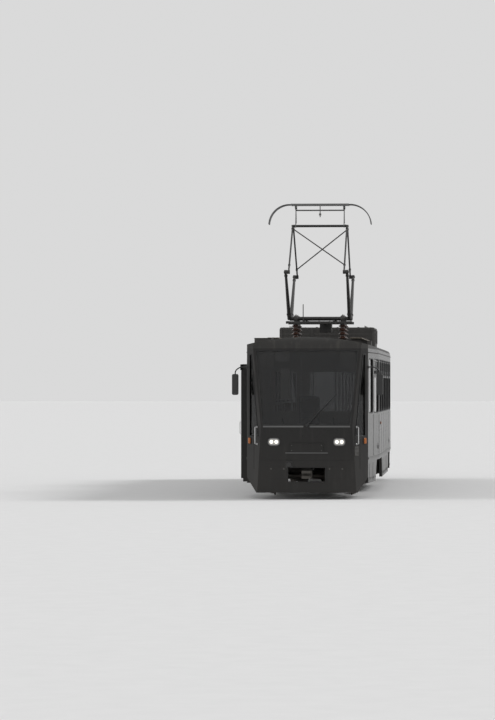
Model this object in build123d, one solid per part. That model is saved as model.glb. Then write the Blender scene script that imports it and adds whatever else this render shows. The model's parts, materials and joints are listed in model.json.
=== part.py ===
"""Four-axle single tram car with a raised diamond pantograph, as separate named pieces.

Frame: +X is forward, +Y is the car's left, +Z is up, in millimetres. The origin is on the floor under
the middle of the car, where the wheel flanges stand. Names ending in BACK are distances from the body's end.
"""

import math
import os

from build123d import *

# Body shell
BODY_LENGTH = 15000.0
BODY_WIDTH = 2550.0
HALF_LENGTH = BODY_LENGTH / 2
HALF_WIDTH = BODY_WIDTH / 2
ROOF_CREST_Z = 3055.0
ROOF_EDGE_Z = ROOF_CREST_Z - 140.0
ROOF_EDGE_IN = 125.0
CANT_Z = ROOF_CREST_Z - 315.0
EDGE_ROUND_IN = 33.75
EDGE_ROUND_DROP = 59.5
WALL = 60.0
SKIRT_Z = 300.0
APRON_Z = 125.0
APRON_CHAMFER_Z = 410.0
APRON_CHAMFER_IN = 190.0
BELT_Z = 1370.0
FLOOR_TOP_Z = 890.0
FLOOR_THICKNESS = 50.0
FLOOR_BOTTOM_Z = FLOOR_TOP_Z - FLOOR_THICKNESS

# End shape in plan and in side view
TAPER_BACK = 3150.0
TAPER_START_X = HALF_LENGTH - TAPER_BACK
CORNER_BACK = 375.0
CORNER_X = HALF_LENGTH - CORNER_BACK
END_TAPER = 131.0
CORNER_HALF = HALF_WIDTH - END_TAPER
SCREEN_FOOT_HALF = 859.0
BROW_BACK = 215.0
BROW_Z = ROOF_CREST_Z - 185.0
BROW_MID_BACK = 55.0
BROW_MID_RISE = 130.0
CROWN_BACK = 240.0
CROWN_RISE = 15.0
CHIN_BACK = 100.0
MASK_SPLIT_BACK = 450.0
MASK_X = HALF_LENGTH - MASK_SPLIT_BACK
ROOF_SPLIT_Z = ROOF_CREST_Z - 215.0
BEYOND = 200.0

# Windows
WINDOW_PITCH = 1450.0
WINDOW_LENGTH = 1200.0
WINDOW_SILL_Z = 1620.0
WINDOW_TOP_Z = CANT_Z - 90.0
WINDOW_RADIUS = 90.0
END_WINDOW_BACK = 570.0
CAB_WINDOW_LENGTH = 1000.0
CAB_WINDOW_RIGHT_LENGTH = 680.0
MID_LIGHT_LENGTH = 375.0
END_LIGHT_LENGTH = 475.0
JAMB_PILLAR = 250.0
LEAST_PILLAR = 100.0
GLASS_IN = 22.0
GLASS_THICKNESS = 6.0
SCREEN_SILL_Z = BELT_Z + 30.0
SCREEN_TOP_Z = BROW_Z - 70.0
SCREEN_PILLAR = 35.0
SCREEN_SPREAD = 108.0
CORNER_WINDOW_FOOT = 45.0
CORNER_WINDOW_DIP = 210.0
CORNER_WINDOW_PILLAR = 56.0
CORNER_WINDOW_LEAN = 75.0
CORNER_WINDOW_DROP = 70.0

# Doors
DOOR_BACK = 1500.0
DOOR_WIDTH = 800.0
DOOR_END_X1 = HALF_LENGTH - DOOR_BACK
DOOR_END_X0 = DOOR_END_X1 - DOOR_WIDTH
DOOR_MID_HALF = 700.0
DOOR_TOP_Z = 2440.0
LEAF_THICKNESS = 35.0
LEAF_GAP = 15.0
LEAF_LAP = 30.0
LEAF_MEETING_GAP = 4.0
LEAF_BOTTOM_Z = 360.0
LEAF_TOP_Z = DOOR_TOP_Z + 15.0
LEAF_STILE = 95.0
LEAF_RAIL = 100.0
LEAF_LOW_LIGHT_Z = 560.0
LEAF_MID_Z = 1380.0
LEAF_TOP_RAIL = 125.0
LEAF_RADIUS = 45.0
LEAF_HANGER_IN = 120.0
LEAF_HANGER_HALF = 60.0
RAIL_TOP_Z = LEAF_TOP_Z + 95.0
RAIL_HALF = 5.0
RAIL_END = 20.0
COVER_THICKNESS = 4.0
COVER_OUT = 12.0
PORTAL_JAMB = 150.0
PORTAL_GAP = 7.0
RUNNING_GAP = 0.3

# Running gear
BOGIE_CENTRES = 7500.0
WHEELBASE = 1940.0
WHEEL_RADIUS = 350.0
FLANGE_HEIGHT = 28.0
HUB_RADIUS = 120.0
TYRE_DEPTH = 42.0
AXLE_Z = WHEEL_RADIUS + FLANGE_HEIGHT
BACK_TO_BACK = 1474.0
WHEEL_WIDTH = 100.0
AXLE_RADIUS = 65.0
JOURNAL_RADIUS = 50.0
SIDE_BEAM_IN = 870.0
SIDE_BEAM_THICKNESS = 90.0
KING_PIN_RADIUS = 120.0
ARCH_HALF = 1480.0
ARCH_CORNER = 260.0
ARCH_RISE = 60.0
ARCH_Z = 700.0

# Bogie details, from the bogie's own middle
BEAM_END_X = 1180.0
BEAM_BEND_X = 760.0
BEAM_LOW_X = 520.0
BEAM_DEPTH = 140.0
BEAM_MID_Z = AXLE_Z + 142.0
BEAM_FOOT_Z = BEAM_MID_Z - BEAM_DEPTH
BEAM_END_Z = BEAM_MID_Z + 80.0
BEAM_END_DEPTH = 70.0
TRANSOM_HALF = 150.0
BOX_OUT_Y = 1000.0
BOX_RADIUS = 105.0
JOURNAL_END_Y = BOX_OUT_Y - 25.0
BOLSTER_X = 170.0
BOLSTER_HALF = 1000.0
SPRING_HEIGHT = 90.0
BOLSTER_Z = BEAM_MID_Z + SPRING_HEIGHT
BOLSTER_DEPTH = 90.0
BOWL_FLOOR_Z = BOLSTER_Z + BOLSTER_DEPTH
BOWL_TOP_Z = BOWL_FLOOR_Z + 25.0
SPRING_X = 85.0
SPRING_RADIUS = 62.0
SPRING_WAIST = 14.0
SPRING_TURNS = 3
DRIVE_Y = 290.0
MOTOR_Z = AXLE_Z + 7.0
MOTOR_RADIUS = 170.0
GEAR_RADIUS = 185.0
GEAR_HALF = 85.0
RAIL_Y = 795.0
SHOE_HALF = 440.0
SHOE_Z = 45.0
SHOE_HEIGHT = 110.0
SHOE_POST_X = 330.0

# Underframe and steps
SILL_Y = 400.0
SILL_WIDTH = 120.0
SILL_Z = FLOOR_BOTTOM_Z - 80.0
SILL_DEEP_Z = SILL_Z - 160.0
BOGIE_BAY_HALF = 1650.0
SILL_DEEP_X = BOGIE_CENTRES / 2 - BOGIE_BAY_HALF
SILL_END_BACK = 600.0
SILL_END_X = HALF_LENGTH - SILL_END_BACK
CROSS_HALF = 60.0
BODY_BOLSTER_X = 240.0
WELL_IN_Y = -830.0
STEP_DEPTH = 200.0
STEP_ONE_Z = 640.0
STEP_TWO_Z = 385.0
PLATE = 15.0
RUB_RAIL_Z = 745.0
RUB_RAIL_HEIGHT = 40.0
UNDER_END_X = SILL_DEEP_X - 50.0
UNDER_IN_Y = SILL_Y + SILL_WIDTH
UNDER_OUT_Y = HALF_WIDTH - 95.0
UNDER_RADIUS = 30.0
UNDER_LID_EDGE = 45.0
UNDER_LID_OUT = 5.0

# Couplers
COUPLER_PIVOT_BACK = 900.0
COUPLER_PIVOT_X = HALF_LENGTH - COUPLER_PIVOT_BACK
COUPLER_Z = 465.0
COUPLER_PIN_RADIUS = 32.0
COUPLER_EYE_HALF = 60.0
COUPLER_BAR_RADIUS = 38.0
COUPLER_FACE_X = HALF_LENGTH - 6.0
COUPLER_EYE_X = COUPLER_FACE_X - 42.0
COUPLER_SLOT_X = COUPLER_EYE_X - 45.0
COUPLER_HEAD_X = COUPLER_SLOT_X - 90.0
COUPLER_HEAD_HALF = 95.0
COUPLER_HEAD_TALL = 75.0
COUPLER_SLOT_HALF = 25.0
COUPLER_HOLE_RADIUS = 20.0
COUPLER_MOUTH_HALF = 350.0
COUPLER_MOUTH_DOWN = 135.0
COUPLER_MOUTH_UP = 135.0
HANGER_HALF = 95.0

# Cab
CAB_WALL_BACK = 1380.0
CAB_WALL_X = HALF_LENGTH - CAB_WALL_BACK
CAB_WALL = 30.0
CAB_DOOR_Y0 = -760.0
CAB_DOOR_Y1 = -160.0
CAB_DOOR_TOP_Z = ROOF_CREST_Z - 355.0
CAB_LIGHT_Z0 = 1650.0
CAB_LIGHT_Z1 = 2400.0
CAB_LIGHT_END_Y = 900.0
CAB_DOOR_FRAME = 90.0
CAB_DOOR_GAP = 6.0
HINGE_OUT = 14.0
HINGE_RADIUS = 9.0
HINGE_PIN_RADIUS = 5.0
HINGE_LENGTH = 45.0
HINGE_LEAF = 24.0
HINGE_HEIGHTS = [FLOOR_TOP_Z + 260.0, CAB_DOOR_TOP_Z - 250.0]
DESK_BACK = 490.0
DESK_X = HALF_LENGTH - DESK_BACK
DESK_HALF = 960.0
DESK_TOP_Z = SCREEN_SILL_Z - 10.0
CAB_SEAT_BACK = 880.0
CAB_SEAT_X = HALF_LENGTH - CAB_SEAT_BACK
CAB_SEAT_Z = FLOOR_TOP_Z + 380.0

# Saloon
SEAT_Z = FLOOR_TOP_Z + 440.0
SEAT_WIDTH = 430.0
SEAT_PITCH = 830.0
SEAT_WALL_GAP = 20.0
POST_Y = 430.0
POST_PITCH = 1850.0
TUBE_RADIUS = 17.0
CEILING_RAIL_Z = 2420.0
CEILING_RAIL_SHORT = 1070.0
CEILING_RAIL_X = CAB_WALL_X - CEILING_RAIL_SHORT
POST_END_GAP = 420.0
REAR_BENCH_BACK = 1900.0
CAB_SEAT_GAP = 1700.0
DOOR_SEAT_BACK = 900.0
DOOR_SEAT_AHEAD = 1200.0
MIDDLE_SEAT_BACK = 1000.0
MIDDLE_SEAT_AHEAD = 800.0

# Lamps, trim, wiper and mirrors
LAMP_Y = 615.0
LAMP_Z = 1082.0
LAMP_WIDTH = 200.0
LAMP_HEIGHT = 120.0
LAMP_OUT = 14.0
LAMP_BACK = 40.0
LAMP_RIM = 12.0
LENS_DROP = 5.0
TRIM_OUT = 9.0
PLATE_HALF = 310.0
PLATE_Z0 = 890.0
PLATE_Z1 = 1050.0
LIP_HALF = 400.0
LIP_DROP = 25.0
LIP_HEIGHT = 17.0
SCREEN_BAR_DROP = 45.0
SCREEN_BAR_HEIGHT = 30.0
SCREEN_BAR_GAP = 60.0
WIPER_Z = SCREEN_SILL_Z - 14.0
WIPER_OUT = 20.0
WIPER_RADIUS = 7.0
BLADE_RADIUS = 7.0
WIPER_TIP_Y = 545.0
WIPER_TIP_Z = WIPER_Z + 574.0
BLADE_FOOT_SHARE = 0.42
MIRROR_BACK = 340.0
MIRROR_X = HALF_LENGTH - MIRROR_BACK
MIRROR_Y = CORNER_HALF + 221.0
MIRROR_Z = 2160.0
MIRROR_HALF_WIDTH = 62.0
MIRROR_HALF_HEIGHT = 200.0
MIRROR_ARM_RISE = 330.0
MIRROR_ARM_RADIUS = 13.0
MIRROR_EDGE = 16.0
TUBE_SIDES = 8

# Roof gear
RESISTOR_X = -3700.0
RESISTOR_LENGTH = 700.0
RESISTOR_PITCH = 760.0
RESISTOR_COUNT = 3
RESISTOR_HALF = 1000.0
RESISTOR_TOP_Z = ROOF_CREST_Z + 315.0
LOUVRE_PITCH = 30.0
LOUVRE_HEIGHT = 12.0
LOUVRE_DEPTH = 12.0
LOUVRE_EDGE = 70.0
LOUVRE_DROP = 60.0
SIDE_LOUVRES = 9
END_LOUVRES = 7
END_LOUVRE_FIELDS = 3
BOARD_X0 = -900.0
BOARD_X1 = 4200.0
BOARD_IN_Y = 700.0
BOARD_WIDTH = 230.0
BOARD_THICKNESS = 22.0
PLANK_COUNT = 3
PLANK_GAP = 8.0
BOARD_Z = ROOF_CREST_Z + 10.0
BOARD_FOOT_PITCH = 680.0

# Pantograph, each height above the one before
PANTO_X = 1750.0
PANTO_BASE_Z = ROOF_CREST_Z + 387.0
PANTO_SHAFT_Z = PANTO_BASE_Z + 58.0
PANTO_KNEE_RISE = 900.0
PANTO_KNEE_Z = PANTO_SHAFT_Z + PANTO_KNEE_RISE
PANTO_TOP_RISE = 990.0
PANTO_TOP_Z = PANTO_KNEE_Z + PANTO_TOP_RISE
PANTO_HEAD_RISE = 440.0
HEAD_Z = PANTO_TOP_Z + PANTO_HEAD_RISE
PANTO_SHAFT_OUT = 350.0
PANTO_KNEE_OUT = 1700.0
PANTO_TOP_OUT = 120.0
BASE_HALF_LENGTH = 480.0
BASE_BEAM_Y = 475.0
BASE_BEAM_HALF = 30.0
BASE_BEAM_DEPTH = 50.0
SHAFT_RADIUS = 35.0
INSULATOR_X = 400.0
INSULATOR_RADIUS = 45.0
INSULATOR_SHED_RADIUS = 85.0
INSULATOR_SHEDS = 4
LOWER_ARM_Y = 612.0
LOWER_ARM_RADIUS = 40.0
LOWER_ARM_TIP_RADIUS = 25.0
UPPER_ARM_Y = 552.0
UPPER_ARM_RADIUS = 17.0
UPPER_TUBE_RADIUS = 20.0
BRACE_RADIUS = 12.0
KNEE_RADIUS = 42.0
KNEE_PIN_RADIUS = 14.0
KNEE_HALF = 28.0
HEAD_POST_IN = 60.0
SKID_X = 140.0
SKID_HALF = 590.0
HORN_RADIUS = 11.0
HORN_BEND_Y = 870.0
HORN_BEND_Z = HEAD_Z - 90.0
HORN_HALF = 1040.0
HORN_TIP_Z = HEAD_Z - 410.0

LEAF_IN_Y = -HALF_WIDTH - LEAF_GAP
LEAF_OUT_Y = LEAF_IN_Y - LEAF_THICKNESS
LEAF_MID_Y = (LEAF_IN_Y + LEAF_OUT_Y) / 2
PORTAL_Y = LEAF_IN_Y + PORTAL_GAP
FAR = 20000.0

# Door leaves: node, lowest x and highest x when shut
LEAVES = [
    ("front", DOOR_END_X0 - LEAF_LAP, DOOR_END_X1 + LEAF_LAP),
    ("middle_front", LEAF_MEETING_GAP, DOOR_MID_HALF + LEAF_LAP),
    ("middle_rear", -DOOR_MID_HALF - LEAF_LAP, -LEAF_MEETING_GAP),
    ("rear", -DOOR_END_X1 - LEAF_LAP, -DOOR_END_X0 + LEAF_LAP),
]
LEAF_LIGHTS = [
    (LEAF_LOW_LIGHT_Z, LEAF_MID_Z - LEAF_RAIL / 2),
    (LEAF_MID_Z + LEAF_RAIL / 2, LEAF_TOP_Z - LEAF_TOP_RAIL),
]
END_TRAVEL = DOOR_WIDTH
MID_TRAVEL = DOOR_MID_HALF - 10.0

# Rail covers over the leaves: lowest x and highest x
RAIL_SPANS = [
    (DOOR_END_X0 - END_TRAVEL - LEAF_LAP - RAIL_END, DOOR_END_X1 + PORTAL_JAMB),
    (-DOOR_MID_HALF - MID_TRAVEL - LEAF_LAP - RAIL_END, DOOR_MID_HALF + MID_TRAVEL + LEAF_LAP + RAIL_END),
    (-DOOR_END_X1 - PORTAL_JAMB, -DOOR_END_X0 + END_TRAVEL + LEAF_LAP + RAIL_END),
]

# Doorways in the right wall: lowest x and highest x
DOORWAYS = [
    (DOOR_END_X0, DOOR_END_X1),
    (-DOOR_MID_HALF, DOOR_MID_HALF),
    (-DOOR_END_X1, -DOOR_END_X0),
]

# Boxes under the floor: lowest and highest x, side of the car (1 is left), and lowest z
UNDERFLOOR_BOXES = [
    (-UNDER_END_X, -1150.0, 1, 340.0),
    (-1050.0, 150.0, 1, 380.0),
    (250.0, UNDER_END_X, 1, 340.0),
    (-UNDER_END_X, -DOOR_MID_HALF - 100.0, -1, 360.0),
    (DOOR_MID_HALF + 100.0, UNDER_END_X, -1, 340.0),
]

# Small boxes on the roof: lowest and highest x, lowest and highest y, highest z
ROOF_ITEMS = [
    (4000.0, 4350.0, 1040.0, 1120.0, ROOF_CREST_Z - 45.0),
    (2900.0, 2960.0, 1110.0, 1150.0, ROOF_CREST_Z + 135.0),
    (4400.0, 5100.0, -1130.0, -800.0, ROOF_CREST_Z + 5.0),
    (-5600.0, -4600.0, -500.0, 500.0, ROOF_CREST_Z + 125.0),
]


def in_row(first, last, pitch):
    """Places at an even pitch from the first, none past the last."""
    return [first + pitch * k for k in range(int((last - first) // pitch) + 1)]


# Seat rows: node, side of the car (1 is left), and the x of each seat
LEFT_PLACES = in_row(-HALF_LENGTH + REAR_BENCH_BACK, CAB_WALL_X - CAB_SEAT_GAP, SEAT_PITCH)
REAR_PLACES = in_row(-DOOR_END_X0 + DOOR_SEAT_BACK, -DOOR_MID_HALF - MIDDLE_SEAT_BACK, SEAT_PITCH)
FRONT_PLACES = in_row(DOOR_MID_HALF + MIDDLE_SEAT_AHEAD, DOOR_END_X0 - DOOR_SEAT_AHEAD, SEAT_PITCH)
SEAT_ROWS = [("seats_left", 1, LEFT_PLACES), ("seats_right", -1, REAR_PLACES + FRONT_PLACES)]
POST_PLACES = in_row(-CEILING_RAIL_X + POST_END_GAP + 5.0, CEILING_RAIL_X - POST_END_GAP, POST_PITCH)


def side_windows(first_x, last_x):
    """Full windows at the pitch of the pillars that fit between two places, on both halves of the car."""
    middles = [(k + 0.5) * WINDOW_PITCH for k in range(int(HALF_LENGTH // WINDOW_PITCH))]
    fits = [x for x in middles if x - WINDOW_LENGTH / 2 > first_x and x + WINDOW_LENGTH / 2 < last_x]
    return [(sign * x, WINDOW_LENGTH) for sign in (1, -1) for x in fits]


# Left windows, then right windows: middle of the window and its length, one pair each
CAB_WINDOW_END = HALF_LENGTH - END_WINDOW_BACK
LEFT_WINDOWS = side_windows(0, CAB_WINDOW_END - CAB_WINDOW_LENGTH - LEAST_PILLAR)
LEFT_WINDOWS += [(sign * (CAB_WINDOW_END - CAB_WINDOW_LENGTH / 2), CAB_WINDOW_LENGTH) for sign in (1, -1)]
MID_LIGHT_X0 = DOOR_MID_HALF + JAMB_PILLAR
END_LIGHT_X1 = DOOR_END_X0 - JAMB_PILLAR
RIGHT_WINDOWS = side_windows(MID_LIGHT_X0 + MID_LIGHT_LENGTH + LEAST_PILLAR,
                             END_LIGHT_X1 - END_LIGHT_LENGTH - LEAST_PILLAR)
RIGHT_WINDOWS += [(sign * (MID_LIGHT_X0 + MID_LIGHT_LENGTH / 2), MID_LIGHT_LENGTH) for sign in (1, -1)]
RIGHT_WINDOWS += [(sign * (END_LIGHT_X1 - END_LIGHT_LENGTH / 2), END_LIGHT_LENGTH) for sign in (1, -1)]
RIGHT_WINDOWS += [(sign * (CAB_WINDOW_END - CAB_WINDOW_RIGHT_LENGTH / 2), CAB_WINDOW_RIGHT_LENGTH)
                  for sign in (1, -1)]


def block(x0, x1, y0, y1, z0, z1):
    """A box from its lowest to its highest corner."""
    centre = Pos((x0 + x1) / 2, (y0 + y1) / 2, (z0 + z1) / 2)
    return centre * Box(x1 - x0, y1 - y0, z1 - z0)


def rod(start, end, radius):
    """A round bar between two points."""
    a, b = Vector(*start), Vector(*end)
    plane = Plane(origin=a, z_dir=b - a)
    foot = (Align.CENTER, Align.CENTER, Align.MIN)
    return plane * Cylinder(radius, (b - a).length, align=foot)


def taper(start, end, radius_start, radius_end):
    """A round bar whose radius changes from one end to the other."""
    a, b = Vector(*start), Vector(*end)
    plane = Plane(origin=a, z_dir=b - a)
    foot = (Align.CENTER, Align.CENTER, Align.MIN)
    return plane * Cone(radius_start, radius_end, (b - a).length, align=foot)


def prism_y(points, y0, y1):
    """An outline of (x, z) points, pulled from y0 to y1."""
    outline = make_face(Polyline(*[(x, y0, z) for x, z in points], close=True))
    return extrude(outline, amount=y1 - y0, dir=(0, 1, 0))


def prism_x(points, x0, x1):
    """An outline of (y, z) points, pulled from x0 to x1."""
    outline = make_face(Polyline(*[(x0, y, z) for y, z in points], close=True))
    return extrude(outline, amount=x1 - x0, dir=(1, 0, 0))


def prism_z(points, z0, z1):
    """An outline of (x, y) points, pulled from z0 to z1."""
    outline = make_face(Polyline(*[(x, y, z0) for x, y in points], close=True))
    return extrude(outline, amount=z1 - z0, dir=(0, 0, 1))


def turned(points, y_axis_x, y_axis_z):
    """An outline of (radius, y) points, turned about an axis along Y."""
    outline = make_face(Polyline(*[(y_axis_x + r, y, y_axis_z) for r, y in points], close=True))
    return revolve(outline, axis=Axis((y_axis_x, 0, y_axis_z), (0, 1, 0)), revolution_arc=360)


def fused(pieces):
    """All the pieces as one shape."""
    whole = pieces[0]
    for piece in pieces[1:]:
        whole = whole + piece
    return whole


def half_turned(shape):
    """The same shape at the other end of the car, turned about the vertical axis."""
    return Rot(0, 0, 180) * shape


def write(shape, node):
    """One node as one STEP file."""
    shape = Compound(children=shape.solids()) if len(shape.solids()) > 1 else shape.solids()[0]
    shape.label = node
    export_step(shape, os.path.join("parts", node + ".step"))
    print(node, len(shape.solids()))


def section_solid(inset):
    """The body's cross-section along its whole length, drawn in by an inset."""
    half = HALF_WIDTH - inset
    edge = half - ROOF_EDGE_IN
    mid_edge = half - EDGE_ROUND_IN
    mid_z = ROOF_EDGE_Z - EDGE_ROUND_DROP
    low = APRON_Z - BEYOND if inset else APRON_Z
    top = -inset
    lines = Curve() + [
        Line((0, -half, low), (0, -half, CANT_Z + top)),
        ThreePointArc((0, -half, CANT_Z + top), (0, -mid_edge, mid_z + top), (0, -edge, ROOF_EDGE_Z + top)),
        ThreePointArc((0, -edge, ROOF_EDGE_Z + top), (0, 0, ROOF_CREST_Z + top),
                      (0, edge, ROOF_EDGE_Z + top)),
        ThreePointArc((0, edge, ROOF_EDGE_Z + top), (0, mid_edge, mid_z + top), (0, half, CANT_Z + top)),
        Line((0, half, CANT_Z + top), (0, half, low)),
        Line((0, half, low), (0, -half, low)),
    ]
    return extrude(make_face(lines), amount=HALF_LENGTH, dir=(1, 0, 0), both=True)


def plan_solid(inset):
    """The body's outline seen from above: a straight middle and tapered ends with faceted corners."""
    quarter = [
        (TAPER_START_X, HALF_WIDTH),
        (CORNER_X, CORNER_HALF),
        (HALF_LENGTH, SCREEN_FOOT_HALF),
    ]
    front = quarter + [(x, -y) for x, y in reversed(quarter)]
    outline = front + [(-x, -y) for x, y in front]
    face = make_face(Polyline(*[(x, y, 0) for x, y in outline], close=True))
    if inset:
        face = offset(face, amount=-inset, kind=Kind.INTERSECTION)
    return extrude(face, amount=ROOF_CREST_Z + BEYOND, dir=(0, 0, 1))


def profile_solid(inset):
    """The body's outline seen from the side: raked windscreens, rounded brows and a drawn-in chin."""
    brow_x = HALF_LENGTH - BROW_BACK - inset
    belt_x = HALF_LENGTH - inset
    chin_x = HALF_LENGTH - CHIN_BACK - inset
    low = APRON_Z - BEYOND if inset else APRON_Z
    crown_z = ROOF_CREST_Z + CROWN_RISE - inset
    brow_z = BROW_Z - inset * 0.6
    side = []
    for sign in (1, -1):
        p = [(sign * chin_x, low), (sign * belt_x, BELT_Z), (sign * brow_x, brow_z)]
        q = [(sign * (brow_x - BROW_MID_BACK), brow_z + BROW_MID_RISE),
             (sign * (brow_x - CROWN_BACK), crown_z)]
        side += [
            Line((p[0][0], 0, p[0][1]), (p[1][0], 0, p[1][1])),
            Line((p[1][0], 0, p[1][1]), (p[2][0], 0, p[2][1])),
            ThreePointArc((p[2][0], 0, p[2][1]), (q[0][0], 0, q[0][1]), (q[1][0], 0, q[1][1])),
        ]
    far = brow_x - CROWN_BACK
    side += [Line((far, 0, crown_z), (-far, 0, crown_z)), Line((chin_x, 0, low), (-chin_x, 0, low))]
    face = make_face(Curve() + side)
    return extrude(face, amount=HALF_WIDTH + BEYOND, dir=(0, 1, 0), both=True)


def body_volume(inset):
    """The whole body as a filled form, drawn in by an inset."""
    return section_solid(inset) & plan_solid(inset) & profile_solid(inset)


def side_wall_y(x):
    """How far the outer side wall is from the middle plane at x."""
    past = max(0.0, abs(x) - TAPER_START_X)
    return HALF_WIDTH - past * (HALF_WIDTH - CORNER_HALF) / (CORNER_X - TAPER_START_X)


def on_screen(y, z, out):
    """A point at the given distance in front of the raked windscreen."""
    rake = math.atan(BROW_BACK / (BROW_Z - BELT_Z))
    face_x = HALF_LENGTH - (z - BELT_Z) * math.tan(rake)
    return (face_x + out * math.cos(rake), y, z + out * math.sin(rake))


def window_cutter(centre_x, length, sill_z, top_z, side):
    """A window hole with rounded corners through one side wall: side is 1 for left and -1 for right."""
    hole = RectangleRounded(length, top_z - sill_z, WINDOW_RADIUS)
    start_y = side * (CORNER_HALF - BEYOND / 2)
    plane = Plane(origin=(centre_x, start_y, (sill_z + top_z) / 2), x_dir=(1, 0, 0), z_dir=(0, side, 0))
    return extrude(plane * hole, amount=2 * BEYOND)


left_cutters = [window_cutter(x, n, WINDOW_SILL_Z, WINDOW_TOP_Z, 1) for x, n in LEFT_WINDOWS]
right_cutters = [window_cutter(x, n, WINDOW_SILL_Z, WINDOW_TOP_Z, -1) for x, n in RIGHT_WINDOWS]


def doorway_cutter(x0, x1):
    """The open way through the right wall, open at the bottom."""
    return block(x0, x1, -HALF_WIDTH - BEYOND, -CORNER_HALF + 2 * WALL, 0, DOOR_TOP_Z)


def screen_cutters():
    """The windscreen and the two corner windows of one end, seen from the front."""
    foot, top = SCREEN_FOOT_HALF - SCREEN_PILLAR, SCREEN_FOOT_HALF + SCREEN_SPREAD
    screen = [(-foot, SCREEN_SILL_Z), (foot, SCREEN_SILL_Z), (top, SCREEN_TOP_Z), (-top, SCREEN_TOP_Z)]
    cutters = [prism_x(screen, MASK_X, HALF_LENGTH + BEYOND)]
    near_foot, near_top = SCREEN_FOOT_HALF + CORNER_WINDOW_FOOT, top + CORNER_WINDOW_LEAN
    far = CORNER_HALF - CORNER_WINDOW_PILLAR
    low, high = SCREEN_SILL_Z - CORNER_WINDOW_DIP, SCREEN_TOP_Z - CORNER_WINDOW_DROP
    for side in (1, -1):
        corner = [(side * near_foot, low), (side * far, low), (side * far, high), (side * near_top, high)]
        cutters.append(prism_x(corner, MASK_X, HALF_LENGTH + BEYOND))
    return cutters


outer = body_volume(0.0)
inner = body_volume(WALL)
shell = outer - inner
pane = body_volume(GLASS_IN) - body_volume(GLASS_IN + GLASS_THICKNESS)


def end_mask(sign):
    """One end of the body, from its apron to its brow, with windows and a mouth for the coupler."""
    zone = block(min(sign * MASK_X, sign * FAR), max(sign * MASK_X, sign * FAR), -FAR, FAR, 0, ROOF_SPLIT_Z)
    mask = shell & zone
    cutters = screen_cutters()
    for cutter in cutters:
        mask = mask - (cutter if sign > 0 else half_turned(cutter))
    mouth = block(MASK_X, HALF_LENGTH + BEYOND, -COUPLER_MOUTH_HALF, COUPLER_MOUTH_HALF,
                  COUPLER_Z - COUPLER_MOUTH_DOWN, COUPLER_Z + COUPLER_MOUTH_UP)
    mask = mask - (mouth if sign > 0 else half_turned(mouth))
    for side in (1, -1):
        out, drawn_in = side * HALF_WIDTH, side * (CORNER_HALF - APRON_CHAMFER_IN)
        wedge = prism_x([(out, 0), (out, APRON_CHAMFER_Z), (side * CORNER_HALF, APRON_CHAMFER_Z),
                         (drawn_in, APRON_Z), (drawn_in, 0)], -HALF_LENGTH, HALF_LENGTH)
        mask = mask - wedge
    return mask


def side_wall(side):
    """One side of the body between the end masks, as skirt panels, side panels and cant rails."""
    low, high = (0, FAR) if side > 0 else (-FAR, 0)
    wall = shell & block(-MASK_X, MASK_X, low, high, SKIRT_Z, ROOF_SPLIT_Z)
    for cutter in left_cutters if side > 0 else right_cutters:
        wall = wall - cutter
    for end in (1, -1):
        x = end * BOGIE_CENTRES / 2
        bend_z = SKIRT_Z + ARCH_RISE
        arch = [(x - ARCH_HALF, 0), (x - ARCH_HALF, bend_z), (x - ARCH_HALF + ARCH_CORNER, ARCH_Z),
                (x + ARCH_HALF - ARCH_CORNER, ARCH_Z), (x + ARCH_HALF, bend_z), (x + ARCH_HALF, 0)]
        wall = wall - prism_y(arch, low, high)
    if side < 0:
        for x0, x1 in DOORWAYS:
            wall = wall - doorway_cutter(x0, x1)
    panels = []
    seams = [-MASK_X, -TAPER_START_X, TAPER_START_X, CAB_WALL_X + CAB_WALL, MASK_X]
    for x0, x1 in zip(seams, seams[1:]):
        for z0, z1 in ((SKIRT_Z, ARCH_Z), (ARCH_Z, CANT_Z), (CANT_Z, ROOF_SPLIT_Z)):
            panels += (wall & block(x0, x1, low, high, z0, z1)).solids()
    return Compound(children=panels)


def panes(cutters):
    """The glass that fills the given window holes, each pane a solid of its own."""
    return Compound(children=[solid for cutter in cutters for solid in (pane & cutter).solids()])


def make_shell():
    """Roof, side walls, end masks, glass and floor."""
    write(shell & block(-FAR, FAR, -FAR, FAR, ROOF_SPLIT_Z, FAR), "roof_shell")
    write(side_wall(1), "side_wall_left")
    write(side_wall(-1), "side_wall_right")
    write(end_mask(1), "front_mask")
    write(end_mask(-1), "rear_mask")
    write(panes(left_cutters + right_cutters), "side_glass")
    write(panes(screen_cutters() + [half_turned(c) for c in screen_cutters()]), "end_glass")


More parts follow.
